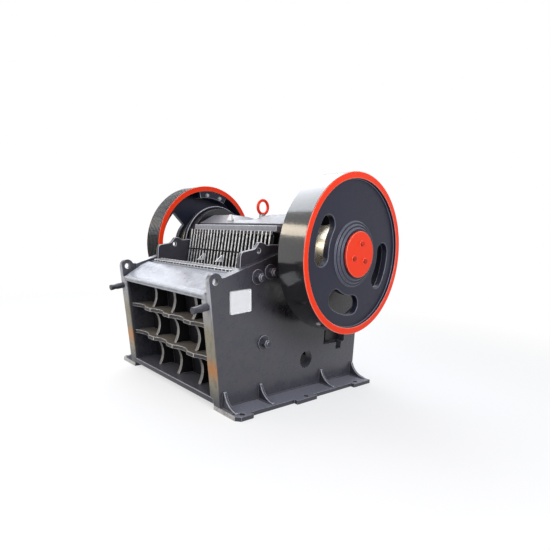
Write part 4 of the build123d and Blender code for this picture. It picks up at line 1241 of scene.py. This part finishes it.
@dataclass
class SwingJaw:
    """Swing jaw body with its webs, clamp bar, bearing rings, lug and lifting eye."""

    body_round_mm: float = 7.0
    web_round_mm: float = 4.0
    ring_round_mm: float = 2.0
    lug_round_mm: float = 3.0
    lug_at: Point = (-0.150, -0.052, 1.2570)
    lug_size: Point = (0.062, 0.034, 0.052)
    lug_taper: Point = (0.3, 0.4, 1.0)
    eye_shoulder_z: float = 1.301

    def build(self) -> None:
        """Finish the body's parts and add the roof lug."""
        body = Body.SWING_JAW
        finish_node("pitman", CAST_ENAMEL, EDGE_HIGHLIGHT_ENAMEL, self.body_round_mm, body=body)
        finish_node("pitman_webs", CAST_ENAMEL, EDGE_HIGHLIGHT_ENAMEL, self.web_round_mm, body=body)
        # The clamp bar is pale all over in the edge enamel: painted light
        finish_node("jaw_clamp_bar", EDGE_HIGHLIGHT_ENAMEL, LIP_EDGE_HIGHLIGHT, body=body)
        finish_node("pitman_bearings", MACHINED_STEEL, MACHINED_STEEL, self.ring_round_mm, body=body,
                    slot=Slot.BRIGHT)
        eye = finish_node("eye_bolt", RED_ENAMEL, RED_EDGE_HIGHLIGHT, 0.0, body=body, slot=Slot.RED)
        add_finishes(eye, ZINC_STEEL)
        recolour(eye, self.plated_shoulder)
        self.lug()

    def plated_shoulder(self, face: MeshPolygon, corners: list[Vector]) -> int:
        """Choose the eye bolt's paint: the third, zinc, up to its shoulder."""
        low = max(corner.z for corner in corners) < self.eye_shoulder_z
        return THIRD if low else face.material_index

    def lug(self) -> None:
        """Model the small pointed lug on the roof."""
        clear_selection()
        bpy.ops.mesh.primitive_cube_add(size=1.0, location=self.lug_at, scale=self.lug_size)
        lug = settle(newest("roof_lug"))
        select_faces(lug, looks_up)
        bpy.ops.transform.resize(value=self.lug_taper, center_override=self.lug_at)
        leave_edit()
        # The lug is pale all over in the edge steel: a painted highlight
        dress(lug, Body.SWING_JAW, Slot.BODY, JAW_EDGE_HIGHLIGHT)
        round_edges(lug, self.lug_round_mm, 3)
        shade(lug)


@dataclass
class Shaft:
    """Eccentric shaft."""

    round_mm: float = 2.0

    def build(self) -> None:
        """Finish the shaft."""
        finish_node("eccentric_shaft", MACHINED_STEEL, MACHINED_STEEL, self.round_mm, 2,
                    Body.SHAFT, Slot.BRIGHT)


@dataclass
class ToggleGear:
    """Toggle plate and seat, tension rods and their springs."""

    plate_round_mm: float = 4.0
    rod_round_mm: float = 2.5
    spring_x: float = 0.220
    spring_z: float = 0.196
    spring_y: float = 0.685
    spring_l: float = 0.150
    coil_r: float = 0.041
    wire_r: float = 0.0068
    turns: int = 7
    coil_steps: int = 28

    def build(self) -> None:
        """Finish the plates and rods, and wind the springs."""
        # Painted black: painted shade deep in the frame
        for node in ("toggle_plate", "toggle_seat"):
            finish_node(node, TOGGLE_SHADE_ENAMEL, TOGGLE_SHADE_ENAMEL, self.plate_round_mm)
        finish_node("tension_rods", MACHINED_STEEL, ZINC_STEEL, self.rod_round_mm, slot=Slot.BRIGHT)
        turn = Matrix.Rotation(math.radians(-90), 4, "X")
        places = [Matrix.Translation((x, self.spring_y, self.spring_z)) @ turn
                  for x in (-self.spring_x, self.spring_x)]
        springs = copies(self.spring(), places, "tension_springs_finished")
        dress(springs, Body.FRAME, Slot.BRIGHT, MACHINED_STEEL)
        smooth(springs, 50)
        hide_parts("tension_springs")

    def spring(self) -> Object:
        """Wind one spring up the Z axis from the origin.

        Returns:
            The spring.
        """
        pitch = (self.spring_l - 2 * self.wire_r) / self.turns
        clear_selection()
        bpy.ops.mesh.primitive_circle_add(vertices=12, radius=self.wire_r, rotation=(math.radians(90), 0, 0),
                                          location=(self.coil_r, 0, self.wire_r))
        spring = settle(newest("tension_spring"))
        apply_modifier(spring, "SCREW", axis="Z", angle=math.tau, screw_offset=pitch, iterations=self.turns,
                       steps=self.coil_steps, render_steps=self.coil_steps, use_merge_vertices=True)
        edit_all(spring)
        bpy.ops.mesh.remove_doubles(threshold=0.05 * MM)
        bpy.ops.mesh.fill_holes(sides=0)
        leave_edit()
        return settle(spring)


@dataclass
class BlankPlate:
    """White plate riveted to the right side plate, left blank."""

    centre: tuple[float, float] = (-0.541, 0.693)
    size: tuple[float, float] = (0.172, 0.146)
    thickness: float = 0.0016
    tilt: float = 5.0
    corner_r: float = 0.009
    corner_steps: int = 5
    border: float = 0.0035
    border_step: float = 0.0008
    border_depth: float = 0.0006
    rivet_r: float = 0.0035
    rivet_rise: float = 0.5
    rivet_inset: float = 0.010

    def build(self) -> None:
        """Model the plate and its rivets."""
        self.plate()
        self.rivets()

    def plate(self) -> None:
        """Model the plate with its rounded corners and raised border."""
        clear_selection()
        bpy.ops.mesh.primitive_cube_add(size=1.0, scale=(*self.size, self.thickness),
                                        location=(0, 0, self.thickness / 2))
        plate = settle(newest("blank_plate"))
        bpy.ops.object.mode_set(mode="EDIT")
        bpy.ops.mesh.select_mode(type="EDGE")
        leave_edit()
        for edge in plate.data.edges:
            a, b = (plate.data.vertices[i].co for i in edge.vertices)
            edge.select = abs(a.z - b.z) > self.thickness / 2
        bpy.ops.object.mode_set(mode="EDIT")
        bpy.ops.mesh.bevel(offset=self.corner_r, segments=self.corner_steps)
        leave_edit()
        select_faces(plate, looks_up)
        sink(self.border, self.border_step, self.border_depth)
        leave_edit()
        dress(plate, Body.FRAME, Slot.BODY, PLATE_LACQUER)
        plate.matrix_world = self.place(0, 0)
        settle(plate)
        shade(plate, 30)

    def rivets(self) -> None:
        """Model the flat round rivets in the plate's corners."""
        clear_selection()
        bpy.ops.mesh.primitive_uv_sphere_add(segments=14, ring_count=8, radius=self.rivet_r)
        rivet = newest("plate_rivet")
        rivet.scale = (1, 1, self.rivet_rise)
        settle(rivet)
        across, along = (length / 2 - self.rivet_inset for length in self.size)
        places = [self.place(u * across, v * along, self.thickness) for u in (-1, 1) for v in (-1, 1)]
        rivets = copies(rivet, places, "blank_plate_rivets")
        dress(rivets, Body.FRAME, Slot.BODY, ZINC_STEEL)
        shade(rivets, 60)

    def place(self, u: float, v: float, lift: float = 0.0) -> Matrix:
        """Return the place of a point on the plate, its face turned to +X.

        Args:
            u: Distance from its centre along Y.
            v: Distance from its centre upward.
            lift: Distance from the side plate.

        Returns:
            The place as a matrix.
        """
        face = Matrix(((0, 0, 1), (1, 0, 0), (0, 1, 0))).to_4x4()
        tilt = Matrix.Rotation(math.radians(self.tilt), 4, "X")
        seat = Matrix.Translation((SIDE_OUT + lift, *self.centre))
        return seat @ tilt @ face @ Matrix.Translation((u, v, 0))


@dataclass
class Studio:
    """Pale floor, white background and soft lights."""

    sky_colour: tuple[float, float, float, float] = (0.90, 0.94, 1.0, 1.0)
    sky_strength: float = 0.38
    floor_near: float = 1.3
    floor_far: float = 5.5
    floor_size: float = 120.0
    near_white: float = 0.62

    def build(self) -> None:
        """Set the world, the lamps and the floor."""
        self.world()
        self.lamps()
        self.floor()

    def seen_rays(self, tree: NodeTree) -> Node:
        """Add a share of one for rays that show the background: camera, glossy and transmission.

        Args:
            tree: The node tree that gets the nodes.

        Returns:
            The node that gives the share.
        """
        rays = add_node(tree, "LightPath").outputs
        seen = add_node(tree, "Math", {0: rays["Is Camera Ray"], 1: rays["Is Glossy Ray"]},
                        operation="MAXIMUM")
        return add_node(tree, "Math", {0: seen, 1: rays["Is Transmission Ray"]}, operation="MAXIMUM")

    def world(self) -> None:
        """Light from a pale sky that shows as white."""
        world = bpy.data.worlds.new("pale_sky")
        bpy.context.scene.world = world
        world.use_nodes = True
        tree = world.node_tree
        tree.nodes.clear()
        sky = add_node(tree, "Background", {"Color": self.sky_colour, "Strength": self.sky_strength})
        white = add_node(tree, "Background", {"Color": WHITE, "Strength": 1.0})
        mix = add_node(tree, "MixShader", {0: self.seen_rays(tree), 1: sky, 2: white})
        add_node(tree, "OutputWorld", {0: mix})

    def lamps(self) -> None:
        """Add the softboxes: name, place, what it faces, size, power in watts, colour."""
        lamps = (
            ("sky_panel_rear", (-4.1, 1.4, 3.2), (0.0, 0.0, 1.0), (3.8, 2.6), 110.0, "#f4f8ff"),
            ("sky_panel_overhead", (-1.65, 0.6, 3.8), (-0.9, 0.5, 0.0), (5.0, 1.7), 95.0, "#f2f7ff"),
            ("strip_warm", (-2.20, -3.25, 2.78), (0.8, -0.3, 1.2), (2.2, 0.95), 44.0, "#fff0d8"),
            ("softbox_front", (0.55, -5.3, 2.7), (0.2, -0.6, 0.6), (2.6, 1.6), 75.0, "#f8faff"),
            ("softbox_right", (4.6, -1.4, 2.8), (0.6, 0.0, 0.8), (2.6, 2.6), 160.0, "#f4f6ff"),
        )
        for name, place, target, size, power, colour in lamps:
            clear_selection()
            bpy.ops.object.light_add(type="AREA", location=place)
            lamp = newest(name)
            lamp.data.shape = "RECTANGLE"
            lamp.data.size, lamp.data.size_y = size
            lamp.data.energy = power
            lamp.data.color = linear(colour)[:3]
            lamp.rotation_euler = (Vector(target) - Vector(place)).to_track_quat("-Z", "Y").to_euler()
            lamp.visible_camera = False

    def floor(self) -> None:
        """Lay the pale floor, which keeps the machine's shadow and is white far from it."""
        clear_selection()
        bpy.ops.mesh.primitive_plane_add(size=self.floor_size, location=(0.0, 0.0, 0.0))
        floor = newest("floor")
        material, tree, _ = new_shader("pale_floor")
        tree.nodes.clear()
        place = add_node(tree, "TexCoord").outputs["Object"]
        away = add_node(tree, "VectorMath", {0: place}, operation="LENGTH")
        share = add_node(tree, "MapRange", {"Value": away, "From Min": self.floor_near,
                                            "From Max": self.floor_far, "To Min": self.near_white,
                                            "To Max": 1.0}, interpolation_type="SMOOTHSTEP")
        pale = add_node(tree, "BsdfDiffuse", {"Color": linear("#f4f4f4")})
        white = add_node(tree, "Emission", {"Color": WHITE, "Strength": 1.0})
        shown = add_node(tree, "MixShader", {0: share, 1: pale, 2: white})
        concrete = add_node(tree, "BsdfDiffuse", {"Color": linear("#a0a0a0")})
        mix = add_node(tree, "MixShader", {0: self.seen_rays(tree), 1: concrete, 2: shown})
        add_node(tree, "OutputMaterial", {0: mix})
        floor.data.materials.append(material)


@dataclass
class PhotoCamera:
    """The photograph's viewpoint, worked out from the machine's straight and round edges."""

    place: Point = (2.561, -2.276, 1.061)
    target: Point = (0.0, -0.050, 0.7937)
    roll: float = 3.6
    focal_px: float = 423.6
    centre_px: tuple[float, float] = (239.2, 275.7)
    frame_px: float = 550.0
    sensor_mm: float = 36.0
    sight_m: float = 200.0

    def build(self) -> None:
        """Add the camera and make it the scene's."""
        ahead = (Vector(self.target) - Vector(self.place)).normalized()
        right = ahead.cross(Vector((0.0, 0.0, 1.0))).normalized()
        up = right.cross(ahead)
        cos, sin = math.cos(math.radians(self.roll)), math.sin(math.radians(self.roll))
        across, above = right * cos + up * sin, up * cos - right * sin
        clear_selection()
        bpy.ops.object.camera_add()
        camera = newest("photo_camera")
        turn = Matrix((across, above, -ahead)).transposed().to_4x4()
        camera.matrix_world = Matrix.Translation(Vector(self.place)) @ turn
        camera.data.sensor_width = self.sensor_mm
        camera.data.lens = self.focal_px * self.sensor_mm / self.frame_px
        camera.data.shift_x = (self.frame_px / 2 - self.centre_px[0]) / self.frame_px
        camera.data.shift_y = (self.centre_px[1] - self.frame_px / 2) / self.frame_px
        camera.data.clip_end = self.sight_m
        bpy.context.scene.camera = camera


def main() -> None:
    """Build the light, the camera and the machine's sub-assemblies."""
    logging.basicConfig(level=logging.INFO, format="%(name)s: %(message)s")
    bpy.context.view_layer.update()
    bpy.context.scene.view_settings.view_transform = "Standard"
    PhotoCamera().build()
    Studio().build()
    cheek_nut = HexBolt(head_r=28.0, head_h=34.0, washer_r=50.0, washer_h=10.0, stud_r=16.5, stud_h=16.0)
    housing_bolt = HexBolt(head_r=21.0, head_h=15.0, washer_r=24.0, washer_h=4.0)
    weight_bolt = HexBolt(head_r=17.0, head_h=11.0, washer_r=19.0, washer_h=3.0)
    assemblies = [MainFrame(), FrontFrame()]
    assemblies += [CheekPlates(side, cheek_nut) for side in Side]
    assemblies += [BearingStation(side, housing_bolt) for side in Side]
    assemblies += [Jaws(), SwingJaw(), Shaft(), ToggleGear()]
    assemblies += [Flywheel(side, weight_bolt) for side in Side]
    assemblies += [BlankPlate()]
    for assembly in assemblies:
        assembly.build()
        LOG.info("%s done", type(assembly).__name__)


if __name__ == "__main__":
    main()
